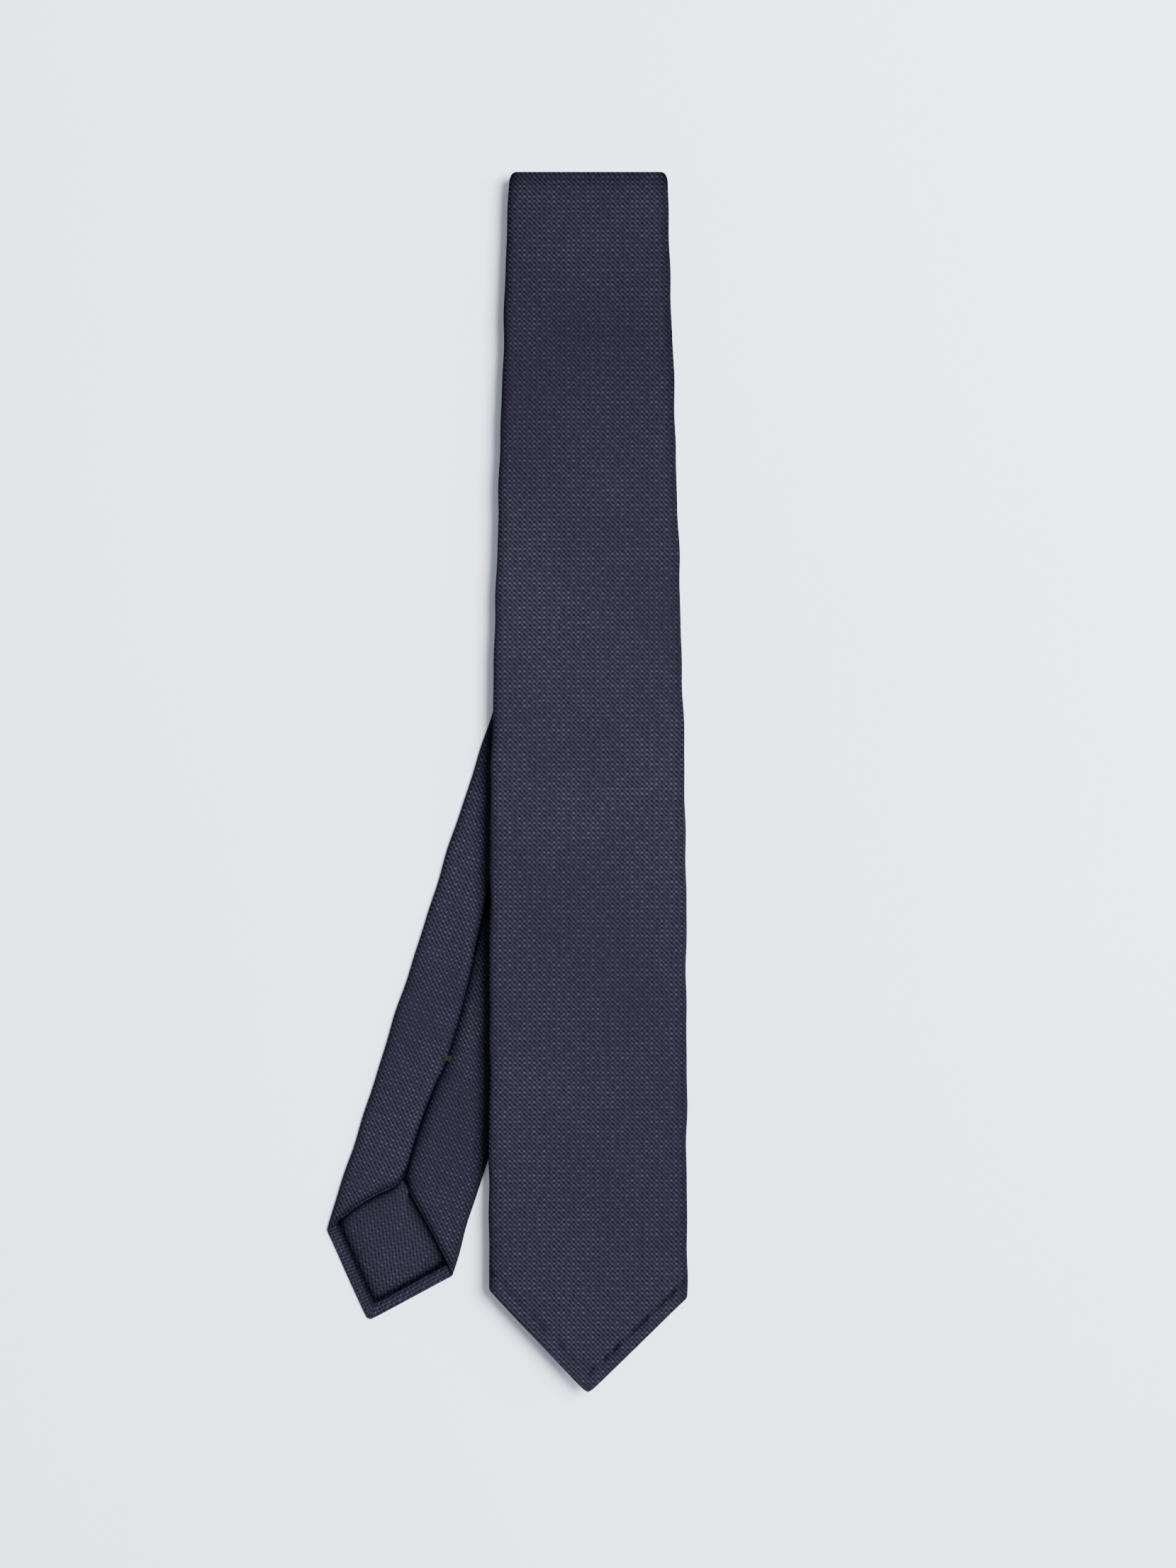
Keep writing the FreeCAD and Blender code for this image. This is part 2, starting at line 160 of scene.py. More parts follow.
def blade_map(u, s, n):
    return TOP.bend(u, s, n)


def neck_map(u, s, n):
    return BOTTOM.bend(u, TOP.end[1] - (s - UNDER_START), -n)


def tail_map(u, s, n):
    return TURN.bend(u, BOTTOM.end[1] + (s - NECK_START), n)


def placed(where, u, s, n):
    """Points of the frame, in metres, for strip coordinates carried by one of the maps."""
    u, s, n = np.broadcast_arrays(u, s, n)
    x, y, z = where(u, s, n)
    return np.stack(((x + AXIS_X) * MM, (y + TIP_Y) * MM, z * MM), axis=-1)


# ---- Shape of the made-up tie ----
def smooth(x):
    x = np.clip(x, 0, 1)
    return x * x * (3 - 2 * x)


def curve_through(stations, s):
    """A smooth curve through (place, value) pairs, with the slopes of their neighbours."""
    places, values = (np.array(column) for column in zip(*stations))
    low = np.maximum(np.arange(len(places)) - 1, 0)
    high = np.minimum(np.arange(len(places)) + 1, len(places) - 1)
    slopes = (values[high] - values[low]) / (places[high] - places[low])
    i = np.clip(np.searchsorted(places, s, side="right") - 1, 0, len(places) - 2)
    span = places[i + 1] - places[i]
    t = (s - places[i]) / span
    rise = (3 - 2 * t) * t * t
    start, end = t * (1 - t) ** 2, t * t * (t - 1)
    return values[i] + (values[i + 1] - values[i]) * rise + span * (start * slopes[i] + end * slopes[i + 1])


def ripple(s, seed, pitch):
    """Gentle uneven waviness along an edge, between about -1 and 1."""
    s = np.asarray(s, float)
    a = np.sin(s * 2 * math.pi / pitch + seed)
    b = np.sin(s * 2 * math.pi / (pitch * 0.61) + 2.3 * seed)
    c = np.sin(s * 2 * math.pi / (pitch * 1.9) + 4.1 * seed)
    return 0.45 * a + 0.3 * b + 0.45 * c


def apex_distances(s, u):
    """For each fold in turn: the fold, and the distance from its apex along the tie."""
    for fold, at, tilt in ((TOP, TOP.end[1], 0.0), (BOTTOM, BOTTOM_AT, 0.0), (TURN, TURN_AT, TURN_TILT)):
        yield fold, np.abs(s + tilt * u - at - fold.arc / 2)


def fold_pinch(s, u=0.0):
    """How much narrower the tie is close to a fold, which rounds the fold's corners."""
    length, depth = FOLD_CORNER
    total = 0.0
    for _, away in apex_distances(s, u):
        x = np.clip(1 - away / length, 0, 1)
        total = total + depth * (1 - np.sqrt(1 - x * x * 0.98))
    return total


def half_width(s):
    return curve_through(HALF_WIDTHS, s) - fold_pinch(s)


def seam_place(s):
    """How far across the tie the upper flap's free edge is."""
    return curve_through(SEAM_LINE, s)


def thickness(s):
    """The made-up thickness, which thins out at both tips."""
    back = np.minimum(s, TIE_LENGTH - s)
    return TIP_LAYER + (LAYER - TIP_LAYER) * smooth((back - 4) / 30)


class Tip:
    """One pointed end: where it starts, which way the tie runs from it and how far back its corners are."""

    def __init__(self, at, way, corner_left, corner_right, sway):
        self.at = at
        self.way = way
        width = curve_through(HALF_WIDTHS, at + way * 35)
        self.slopes = (corner_left / width, corner_right / width)
        self.sway = sway

    def slope(self, v):
        return np.where(v < 0, self.slopes[0], self.slopes[1])

    def edge(self, v):
        """How far back the cloth's folded edge is at v."""
        return self.slope(v) * (np.sqrt(v * v + TIP_ROUND ** 2) - TIP_ROUND)


BLADE_TIP = Tip(0.0, 1, 42.3, 38.9, 1.2)
TAIL_TIP = Tip(TIE_LENGTH, -1, 30.3, 27.6, 2.8)


# Columns of the cloth, edge to edge: the left flap, left roll, face, right roll and right flap
def columns(step):
    """(segment, share) for each column. Segments are 0 to 4, from left to right."""
    widest = HALF_WIDTHS[0][1]
    counts = (round(widest / step), 8, round(2 * widest / step), 8, round(widest / step) + 3)
    segment = np.repeat(np.arange(5), counts)
    share = np.concatenate([np.arange(count) / count for count in counts])
    return np.append(segment, 4), np.append(share, 1.0)


def roll_sizes(s):
    """Half the flat part's width, the roll's drop and the length of cloth round the roll."""
    flat = half_width(s) - CLOTH / 2 - ROLL
    drop = (thickness(s) - CLOTH) / 2
    around = math.pi * np.sqrt((ROLL ** 2 + drop ** 2) / 2)
    return flat, drop, around


def column_places(layout, s):
    """v for each column at s, measured round the cloth from the middle of the face."""
    segment, share = layout
    flat, _, around = roll_sizes(s)
    seam = seam_place(s)
    left_back = flat + seam
    right_back = flat - seam + LAP
    out = flat + around
    corners = (-(out + left_back), -out, -flat, flat, out, out + right_back)
    corners = np.stack(np.broadcast_arrays(*corners, share)[:-1])
    index = np.broadcast_to(segment, corners.shape[1:])[None]
    start = np.take_along_axis(corners, index, 0)[0]
    stop = np.take_along_axis(corners, index + 1, 0)[0]
    return start + (stop - start) * share


def rough_u(layout, s):
    """Where each column lies across the tie, near enough to slant rows along a fold."""
    u, _ = section(column_places(layout, s), s, 0.0, False)
    return u


def open_air(u, s):
    """Plan distance of the tail's back from the tie's axis, on the side where it lies in the open."""
    x, _, _ = tail_map(u, s, 0.0)
    return np.where(s > TAIL_SEAM, -x, 0.0)


def flap_swell(u, s, upper):
    """How far the tail's open flaps stand up, and how far they dip along the seam."""
    seam = seam_place(s)
    half = curve_through(HALF_WIDTHS, s)
    air = open_air(u, s)
    from_side = smooth((half - np.abs(u)) / 9)
    from_seam = np.abs(u - seam)
    hidden = ~upper & (u < seam)
    rise = np.where(upper, 0.35 + 0.65 * smooth(from_seam / 3.2), smooth((from_seam + 0.4) / 6.5))
    rise = np.where(hidden, 0.0, rise) * np.clip((air - 22) * FLAP_RISE, 0, 0.42)
    dip = np.where(upper, 0.16 * (1 - smooth(from_seam / 3.0)), 0.34 * (1 - smooth(from_seam / 6.0)))
    dip = np.where(hidden, 0.34, dip) * smooth((air - 27) / 12) * smooth((TIE_LENGTH - s - TAIL_TIPPING) / 20)
    return from_side * (rise - dip)


def section(v, s, depth, shaped=True):
    """Where a point of the cloth, or one at a depth inside it, lies across the tie and above its middle."""
    flat, drop, around = roll_sizes(s)
    if shaped:
        flat = flat - fold_pinch(s, np.clip(v, -flat, flat)) + fold_pinch(s)
    side = np.sign(v)
    reach = np.abs(v)
    turn = np.clip((reach - flat) / around, 0, 1) * math.pi
    back = reach > flat + around
    on_face = reach < flat
    top = FACE - CLOTH / 2
    lean_u, lean_n = np.sin(turn) / ROLL, np.cos(turn) / drop
    size = np.sqrt(lean_u ** 2 + lean_n ** 2)
    u = side * (flat + ROLL * np.sin(turn) - depth * lean_u / size)
    n = top - drop * (1 - np.cos(turn)) - depth * lean_n / size
    u = np.where(on_face, v, u)
    n = np.where(on_face, top - depth, n)
    u = np.where(back, side * (flat - (reach - flat - around)), u)
    n = np.where(back, top - 2 * drop + depth, n)
    if not shaped:
        return u, n
    seam = seam_place(s)
    under = (v > 0) & (reach > flat + around - 1)
    dip = FLAP_STEP + 0.34 * smooth((seam + 5 - u) / 4.5)
    inner = smooth((reach - flat - around) / 6)
    n = np.where(under, n + dip * inner, n)
    behind = reach > flat + around
    n = np.where(behind, n - flap_swell(u, s, v < 0), n)
    edge = np.clip(np.abs(u) / (flat + ROLL), 0, 1) ** 3
    u = u + side * edge * (0.32 * ripple(s, np.where(side > 0, 0.7, 2.9), 37.0))
    return u, n


# ---- Meshes ----
def grid_normals(points):
    across = np.gradient(points, axis=1)
    along = np.gradient(points, axis=0)
    normals = np.cross(across, along)
    return normals / (np.linalg.norm(normals, axis=-1, keepdims=True) + 1e-12)


def scene_object(name, data):
    made = bpy.data.objects.new(name, data)
    bpy.context.scene.collection.objects.link(made)
    return made


def new_piece(name, points, faces, uvs):
    mesh = bpy.data.meshes.new(name)
    mesh.from_pydata(points.reshape(-1, 3).tolist(), [], faces)
    layer = mesh.uv_layers.new(name="Weave")
    corner = np.zeros(len(mesh.loops), np.int32)
    mesh.loops.foreach_get("vertex_index", corner)
    layer.data.foreach_set("uv", uvs.reshape(-1, 2)[corner].astype(np.float32).ravel())
    mesh.shade_smooth()
    mesh.set_sharp_from_angle(angle=math.radians(SHARP_ANGLE))
    mesh.update()
    return scene_object(name, mesh)


def sheet_mesh(name, points, uvs, thick, painted_shade=None):
    """A closed sheet of cloth of real thickness, from a grid of points on its middle."""
    rows, cols = points.shape[:2]
    offset = grid_normals(points) * (np.asarray(thick)[..., None] * MM / 2)
    outer, inner = points + offset, points - offset
    index = np.arange(rows * cols).reshape(rows, cols)
    a, b = index[:-1, :-1].ravel(), index[:-1, 1:].ravel()
    c, d = index[1:, 1:].ravel(), index[1:, :-1].ravel()
    shift = rows * cols
    faces = np.concatenate((np.stack((a, b, c, d), -1), np.stack((a, d, c, b), -1) + shift))
    ring = np.concatenate((index[0, :-1], index[:-1, -1], index[-1, :0:-1], index[:0:-1, 0]))
    inside = np.concatenate((index[1, :-1], index[:-1, -2], index[-2, :0:-1], index[:0:-1, 1]))
    flat, flat_uv = points.reshape(-1, 3), uvs.reshape(-1, 2)
    away = flat[ring] - flat[inside]
    away /= np.linalg.norm(away, axis=-1, keepdims=True) + 1e-12
    half = np.linalg.norm(offset.reshape(-1, 3)[ring], axis=-1, keepdims=True)
    rim = flat[ring] + away * half * 0.9
    k = np.arange(len(ring))
    following = np.roll(k, -1)
    rim_faces = np.concatenate((
        np.stack((ring[following], ring, 2 * shift + k, 2 * shift + following), -1),
        np.stack((2 * shift + following, 2 * shift + k, ring + shift, ring[following] + shift), -1),
    ))
    vertices = np.concatenate((outer.reshape(-1, 3), inner.reshape(-1, 3), rim))
    every_uv = np.concatenate((flat_uv, flat_uv, flat_uv[ring]))
    piece = new_piece(name, vertices, np.concatenate((faces, rim_faces)).tolist(), every_uv)
    # Painted shade: a darkness for each point, stored so the silk's colour can be painted darker by it
    if painted_shade is not None:
        flat_painted_shade = np.broadcast_to(painted_shade, (rows, cols)).reshape(-1)
        every = np.concatenate((flat_painted_shade, flat_painted_shade, flat_painted_shade[ring]))
        layer = piece.data.attributes.new("PaintedShade", "FLOAT", "POINT")
        layer.data.foreach_set("value", np.clip(every, 0, 1).astype(np.float32))
    return piece


def thread_mesh(name, paths, radius, sides=5):
    """Round threads along paths of points, as one closed mesh. Their ends taper to a point."""
    vertices, faces, uvs = [], [], []
    for path in paths:
        path = np.asarray(path, float)
        tangent = np.gradient(path, axis=0)
        tangent /= np.linalg.norm(tangent, axis=1, keepdims=True) + 1e-12
        up = np.tile((0.0, 0.0, 1.0), (len(path), 1))
        side = np.cross(tangent, up)
        weak = np.linalg.norm(side, axis=1) < 0.2
        side[weak] = np.cross(tangent[weak], (1.0, 0.0, 0.0))
        side /= np.linalg.norm(side, axis=1, keepdims=True)
        other = np.cross(side, tangent)
        share = np.linspace(0, 1, len(path))
        size = radius * MM * np.clip(np.sin(np.pi * np.clip(share, 0.04, 0.96)) * 4, 0.25, 1)
        run = np.concatenate(((0,), np.cumsum(np.linalg.norm(np.diff(path, axis=0), axis=1))))
        start = len(vertices)
        for i, point in enumerate(path):
            for k in range(sides):
                angle = 2 * math.pi * k / sides
                spoke = side[i] * math.cos(angle) + other[i] * math.sin(angle)
                vertices.append(point + spoke * size[i])
                uvs.append((k / sides * 2 * math.pi * radius * MM, run[i]))
        for i in range(len(path) - 1):
            for k in range(sides):
                a, b = start + i * sides + k, start + i * sides + (k + 1) % sides
                faces.append((a, b, b + sides, a + sides))
        for i, flip in ((0, True), (len(path) - 1, False)):
            cap = [start + i * sides + k for k in range(sides)]
            faces.append(tuple(reversed(cap)) if flip else tuple(cap))
    return new_piece(name, np.array(vertices), faces, np.array(uvs))


# ---- The silk shells ----
def rows_near(fine_at, low, high, step, fine):
    """Row places from low to high, closer together round a fold's apex."""
    rows = []
    s = low
    while s < high - 1e-6:
        rows.append(s)
        away = abs(s - fine_at)
        if away < APEX_REACH:
            s += fine
        elif away < BEND_REACH:
            s += fine * 3
        else:
            s += min(step, max(fine * 3, away - (BEND_REACH - 0.2)))
    rows.append(high)
    return np.array(rows)


def slanted(layout, rows, at=0.0, tilt=0.0, apex_half=0.0):
    """Row places for every column, leaning so that they run along a tilted fold."""
    s = np.repeat(rows[:, None], len(layout[0]), axis=1)
    if not tilt:
        return s
    lean = 1 - smooth((np.abs(s - at - apex_half) - 7) / 55)
    return s - tilt * rough_u(layout, s) * lean


def cloth_rows(layout, s_grid, seams):
    """v and s grids for plain rows, leaning along the bias seams where the piece ends on one."""
    v = column_places(layout, s_grid)
    s = s_grid.copy()
    for seam, gap in seams:
        s = s + v * (1 - smooth(np.abs(s_grid - seam) / SEAM_REACH))
        s = s + gap * (1 - smooth(np.abs(s_grid - seam) / 2))
    return column_places(layout, s), s


def seam_dip(v, s, seams):
    """Depth by which the cloth turns in at its bias seams."""
    depth = 0.0
    for seam, _ in seams:
        away = np.abs(s - v - seam) / math.sqrt(2)
        depth = depth + SEAM_DEPTH * np.clip(1 - away / 0.9, 0, 1) ** 2
    return depth


def tip_rows(layout, tip, reach, step):
    """v, s, depth and uv grids for a tip: its hem, folded to the inside, then its rows back to plain ones."""
    count = round(reach / step)
    share = np.linspace(0, 1, count + 1)[:, None]
    v = column_places(layout, tip.at + tip.way * (20 + share * reach * 0.8))
    for _ in range(4):
        edge = flap_edge(tip, v)
        t = edge + share * (reach - edge)
        v = column_places(layout, tip.at + tip.way * t)
    s = tip.at + tip.way * t
    depth = np.zeros_like(v)
    edge_v, edge_t = v[0], t[0]
    slope = tip.slope(edge_v)
    norm = np.sqrt(1 + slope ** 2)
    side = np.sign(edge_v) + (edge_v == 0)
    hem = []
    angles = np.linspace(0, math.pi, 7)[1:-1]
    runs = [(-HEM_FOLD * math.sin(a), HEM_FOLD * (1 - math.cos(a)), HEM_FOLD * a) for a in angles]
    runs += [(x, 2 * HEM_FOLD, HEM_FOLD * math.pi + x) for x in np.linspace(0.0, HEM, 6)]
    for inward, deep, used in runs:
        pull = max(inward, 0.0) * slope / norm + 1e-9
        moved_v = edge_v - side * pull * np.tanh(np.abs(edge_v) / pull)
        moved_t = flap_edge(tip, moved_v) + inward * norm
        moved_t = moved_t + (edge_t - flap_edge(tip, edge_v))
        cut = np.stack((edge_v + side * used * slope / norm, tip.at + tip.way * (edge_t - used / norm)), -1)
        hem.append((moved_v, tip.at + tip.way * moved_t, np.full_like(edge_v, deep), cut))
    hem.reverse()
    main_uv = np.stack((v, s), -1)
    hems = (np.stack(part) for part in zip(*hem))
    return [np.concatenate(pair) for pair in zip(hems, (v, s, depth, main_uv))]


def flap_edge(tip, v):
    """The tip's edge, with the flaps' slight sway and the rounding of their inner corners."""
    edge = tip.edge(v)
    place = tip.at + tip.way * (tip.edge(-2 * curve_through(HALF_WIDTHS, tip.at)) + 2)
    flat, _, around = roll_sizes(place)
    seam = seam_place(place)
    past = np.clip((np.abs(v) - flat - around) / (flat + seam), 0, 1)
    sway = tip.sway * np.sin(math.pi * past) * np.where(v < 0, 1.0, 0.25)
    end = np.where(v < 0, 2 * flat + around + seam, 2 * flat + around - seam + LAP)
    x = np.clip((np.abs(v) - end) / CORNER_ROUND + 1, 0, 1)
    return edge + sway + CORNER_ROUND * 1.25 * (1 - np.sqrt(1 - x * x * 0.97))


def shell_points(where, v, s, depth, relief=None):
    u, n = section(v, s, depth)
    if relief is not None:
        n = n + relief(u, v, s)
    return placed(where, u, s, n)


def cloth_thickness(layout, shape):
    """Ply thickness over a grid: the flaps' free edges are turned under, so they are thicker."""
    segment, share = layout
    from_edge = np.where(segment == 0, share, np.where(segment == 4, 1 - share, 1.0))
    thick = CLOTH * (1 + 0.35 * (1 - smooth(from_edge / 0.05)))
    return np.broadcast_to(thick, shape)


def near(distance, reach):
    """1 at a line, falling away smoothly over about the reach to either side."""
    return np.exp(-(distance / reach) ** 2)


def hem_dimples(u, away):
    """Small dimples in the blade's face where the hem is caught down, deeper on the right."""
    place = ripple(np.abs(u) * 1.35, np.where(u > 0, 0.4, 2.2), 7.5)
    return near(away - 4.9, 1.2) * smooth(0.45 + 0.75 * place) * np.where(u > 0, 1.0, 0.45)


def blade_shade(v, s):
    """Painted shade in the dimples of the blade's hem and along its inner edge, and painted shade for the
    fall of the light: darker towards its top fold, and a little towards its tip.
    """
    away = (s - BLADE_TIP.edge(v)) / np.sqrt(1 + BLADE_TIP.slope(v) ** 2)
    face = (np.abs(v) < half_width(s) - 1) & (s < 60)
    hem = 0.65 * hem_dimples(v, away) + 0.16 * near(away - HEM, 0.9)
    return np.where(face, hem, 0.0) + 0.24 * smooth((s - 290) / 160) + 0.08 * smooth((170 - s) / 140)


def blade_relief(u, v, s):
    """Shape of the blade's face: its hem's ridge, the puckers along its edges and a soft unevenness."""
    edge = BLADE_TIP.edge(u)
    norm = np.sqrt(1 + BLADE_TIP.slope(u) ** 2)
    away = (s - edge) / norm
    on_face = np.abs(v) < half_width(s) - 1.0
    ridge = 0.17 * (1 - smooth((away - HEM + 0.9) / 1.6)) - 0.14 * near(away - HEM - 0.5, 0.9)
    puckers = -0.26 * hem_dimples(u, away) * (s < 48)
    from_side = half_width(s) - np.abs(u)
    side_line = near(from_side - 3.2, 1.6) * smooth((s - 40) / 15) * smooth((478 - s) / 12)
    side_puckers = 0.11 * side_line * ripple(s, np.where(u > 0, 1.9, 0.2), 11.0)
    waves = np.sin(s / 23 + u / 31) * np.sin(u / 17 - s / 61) + 0.6 * np.sin(s / 41 - u / 13 + 1)
    swell = 0.09 * smooth((470 - s) / 25) * waves
    calm_tip = smooth(s / 2.0 + 0.3)
    return np.where(on_face, ridge * (s < 60) + puckers + side_puckers + swell, 0.0) * calm_tip


def tail_relief(u, v, s):
    """Unevenness of the tail's back: the flaps swell a little between the seam and the edges."""
    t = TIE_LENGTH - s
    back = np.abs(v) > half_width(s) + 1.0
    away = np.abs(u - seam_place(s))
    tack = near(t - 110.5, 5.5) * near(away, 6)
    groove = 0.10 * near(away, 2.2) * (v > 0)
    rays = 0.10 * tack * np.sin(t * 2.4 + 0.6 * u)
    swell = 0.05 * np.sin(t / 19 + u / 9) * smooth((TIE_LENGTH - 1200 - t) / 30)
    return np.where(back, groove + rays + 0.12 * tack + swell, 0.0)


def seam_painted_shade(v, s):
    """Painted shade: how dark the cloth is painted in the shade of its own seam, under the upper flap, along
    its rolls and round its folds.
    """
    u, _ = section(v, s, 0.0)
    flat, _, around = roll_sizes(s)
    back = np.abs(v) > flat + around
    from_seam = u - seam_place(s)
    lower = np.where(from_seam > 0, 0.85 * near(from_seam, 1.9) + 0.28 * near(from_seam, 5.0), 0.95)
    upper = 0.60 * near(from_seam, 1.0)
    painted_shade = np.where(back, np.where(v > 0, lower, upper), 0.0)
    painted_shade = painted_shade + 0.42 * near(np.abs(v) - flat - around / 2, 2.7)
    for fold, away in apex_distances(s, u):
        painted_shade = painted_shade + 0.20 * (1 - smooth((away - fold.arc / 2) / 7))
    return painted_shade


def tip_painted_shade(tip, v, s, depth):
    """Painted shade along a tip's flaps and under its hem."""
    t = (s - tip.at) * tip.way
    flat, _, around = roll_sizes(s)
    back = smooth((np.abs(v) - flat - around) / 2)
    lip = near((t - flap_edge(tip, v)) / TIP_LEAN, 1.9) * (depth == 0) * back
    inward = (t - tip.edge(v)) / TIP_LEAN
    hem = (0.80 * near(inward - HEM, 1.2) + 0.25 * near(inward - HEM, 3.0)) * (depth > HEM_FOLD)
    return 0.65 * lip + hem


def blade_shell():
    layout = columns(PLAIN_STEP)
    reach = 150.0
    tip_v, tip_s, tip_depth, tip_uv = tip_rows(layout, BLADE_TIP, reach, 1.5)
    rows = rows_near(TOP_APEX, reach, BLADE_SEAM, 2.1, FINE_STEP)[1:]
    seams = [(BLADE_SEAM, -SEAM_GAP)]
    v, s = cloth_rows(layout, slanted(layout, rows), seams)
    depth = seam_dip(v, s, seams)
    grids = (tip_v, v), (tip_s, s), (tip_depth, depth), (tip_uv, np.stack((v, s), -1))
    v, s, depth, uv = (np.concatenate(pair) for pair in grids)
    points = shell_points(blade_map, v, s, depth, blade_relief)
    # Painted shade from the seam, rolls, folds, tip and hem, plus the blade's painted darkening towards its
    # top fold and tip
    painted_shade = seam_painted_shade(v, s) + tip_painted_shade(BLADE_TIP, v, s, depth) * (s < 120) + blade_shade(v, s)
    return points, uv, cloth_thickness(layout, v.shape), painted_shade


def neck_shell():
    layout = columns(PLAIN_STEP * 1.4)
    rows = rows_near(BOTTOM_APEX, BLADE_SEAM, TAIL_SEAM, 1.8, FINE_STEP / 2)
    seams = [(BLADE_SEAM, SEAM_GAP), (TAIL_SEAM, -SEAM_GAP)]
    v, s = cloth_rows(layout, slanted(layout, rows), seams)
    points = shell_points(neck_map, v, s, seam_dip(v, s, seams))
    # The last part returned is the painted shade of the seam, rolls and folds
    return points, np.stack((v, s), -1), cloth_thickness(layout, v.shape), seam_painted_shade(v, s)


def tail_shell():
    layout = columns(PLAIN_STEP * 1.15)
    reach = 120.0
    tip_v, tip_s, tip_depth, tip_uv = tip_rows(layout, TAIL_TIP, reach, 1.3)
    rows = rows_near(TURN_APEX, TAIL_SEAM, TIE_LENGTH - reach, 1.7, FINE_STEP / 2)[:-1]
    seams = [(TAIL_SEAM, SEAM_GAP)]
    v, s = cloth_rows(layout, slanted(layout, rows, TURN_AT, TURN_TILT, TURN.arc / 2), seams)
    depth = seam_dip(v, s, seams)
    tip_grids = (grid[::-1] for grid in (tip_v, tip_s, tip_depth, tip_uv))
    mine = (v, s, depth, np.stack((v, s), -1))
    v, s, depth, uv = (np.concatenate(pair) for pair in zip(mine, tip_grids))
    points = shell_points(tail_map, v, s, depth, tail_relief)
    # Painted shade of the seam, rolls and folds, and along the tip's flaps and under its hem
    painted_shade = seam_painted_shade(v, s) + tip_painted_shade(TAIL_TIP, v, s, depth) * (s > TIE_LENGTH - 90)
    return points, uv, cloth_thickness(layout, v.shape), painted_shade


# ---- What lies inside ----
def interlining_heights(s):
    """The interlining's upper and lower surfaces, above the middle of the tie."""
    top = FACE - CLOTH - 0.10
    past_blade, past_tail = s - BLADE_TIPPING - 2, TIE_LENGTH - s - 240
    deep = 0.26 + 0.34 * smooth(np.minimum(past_blade, past_tail) / 30)
    return top, top - deep


def interlining(where, start, stop, fold_at, tilt, tip=None):
    """A strip of felted wool between the cloth's two faces."""
    share = np.linspace(-1, 1, 34)[None, :]
    rows = rows_near(fold_at, start, stop, 3.0, FINE_STEP)[:, None]
    u = share * (half_width(rows) - 2.6)
    s = np.broadcast_to(rows, u.shape).copy()
    if tip:
        edge = tip.edge(u) + 14.0
        t = (s - tip.at) * tip.way
        s = tip.at + tip.way * np.where(t < 120, edge + t * (1 - edge / 120), t)
        u = share * (half_width(s) - 2.6)
    for seam, gap in ((start, 0.3), (stop, -0.3)):
        if seam in (BLADE_SEAM, TAIL_SEAM):
            s = s + u * (1 - smooth(np.abs(rows - seam) / SEAM_REACH)) + gap * (rows == seam)
    if tilt:
        s = s - tilt * u * (1 - smooth((np.abs(s - fold_at) - 7) / 40))
    top, bottom = interlining_heights(s)
    points = placed(where, u, s, (top + bottom) / 2)
    return points, np.stack((u, s), -1), np.broadcast_to(top - bottom, s.shape), None


def tipping_depth(tip, u, t):
    """How deep the tipping's middle lies below the tie's outer face: under the hem, then past it."""
    inside = (t - tip.edge(u)) / np.sqrt(1 + tip.slope(u) ** 2)
    under_hem = CLOTH + TIPPING / 2 + 0.02
    past_hem = 0.86
    return under_hem + (past_hem - under_hem) * smooth((inside - HEM + 0.2) / 3.2)


def tipping(where, tip, length):
    share = np.linspace(-1, 1, 72)[None, :]
    down = np.linspace(0, 1, 64)[:, None]
    t = np.broadcast_to(10 + down * (length - 10), (64, 72)).copy()
    for _ in range(4):
        u = share * (half_width(tip.at + tip.way * t) - 1.9)
        t = tip.edge(u) + 1.4 + down * (length - tip.edge(u) - 1.4)
    s = tip.at + tip.way * t
    n = FACE - tipping_depth(tip, u, t)
    n = n - 0.05 * np.sin(t / 5.1 + u / 7.3) * np.sin(u / 4.7 - t / 11) * smooth((t - tip.edge(u) - 10) / 8)
    flat, _, around = roll_sizes(s)
    side = np.where(u < 0, -1.0, 1.0)
    under_flap = (flap_edge(tip, side * (2 * flat + around - np.abs(u))) - t) / TIP_LEAN
    inside = (t - tip.edge(u)) / TIP_LEAN
    if tip is TAIL_TIP:
        from_side = half_width(s) - np.abs(u)
        n = n - 0.55 * smooth((inside - HEM - 1) / 9) * smooth(from_side / 12) * smooth(under_flap / 14)
    # Painted shade on the tipping: dark along and under the hem's inner edge, and dark along and under the
    # flaps' lower edges
    painted_shade = 0.85 * near(inside - HEM + 0.5, 1.7) + 0.30 * near(inside - HEM, 4.5) + 1.0 * (inside < HEM)
    flap_shade = 0.85 * near(under_flap, 1.7) + 0.40 * near(under_flap, 4.8)
    painted_shade = painted_shade + np.where(under_flap > 0, flap_shade, 1.0)
    points = placed(where, u, s, n)
    turned = np.stack((u * 0.94 + s * 0.34, s * 0.94 - u * 0.34), -1)
    return points, turned, np.full(t.shape, TIPPING), painted_shade


# ---- Stitching and small pieces ----
def back_height(s):
    """Height of the upper flap's outer face, above the tie's middle, so it is negative."""
    return float(FACE - CLOTH / 2 - (thickness(s) - CLOTH)) - CLOTH / 2


def slip_stitches(name, where, start, stop):
    """The loose thread that closes the back: long runs inside, and short stitches over the flap's edge."""
    paths = []
    s = start
    while s + THREAD_RUN < stop:
        out = back_height(s) - 0.05
        inner = out + 0.75
        across = np.array((-2.6, -2.4, -1.6, -0.5, 0.1, 0.45, 0.6, 0.3, -1.2, -2.4))
        along = s + THREAD_RUN * np.array((0.0, 0.3, 0.42, 0.46, 0.48, 0.50, 0.52, 0.62, 0.85, 1.0))
        n = (inner, inner, inner - 0.35, out - 0.02, out, out + 0.22, inner - 0.2, inner, inner, inner)
        paths.append(placed(where, seam_place(s + THREAD_RUN / 2) + across, along, n))
        s += THREAD_RUN
    return thread_mesh(name, paths, 0.07)


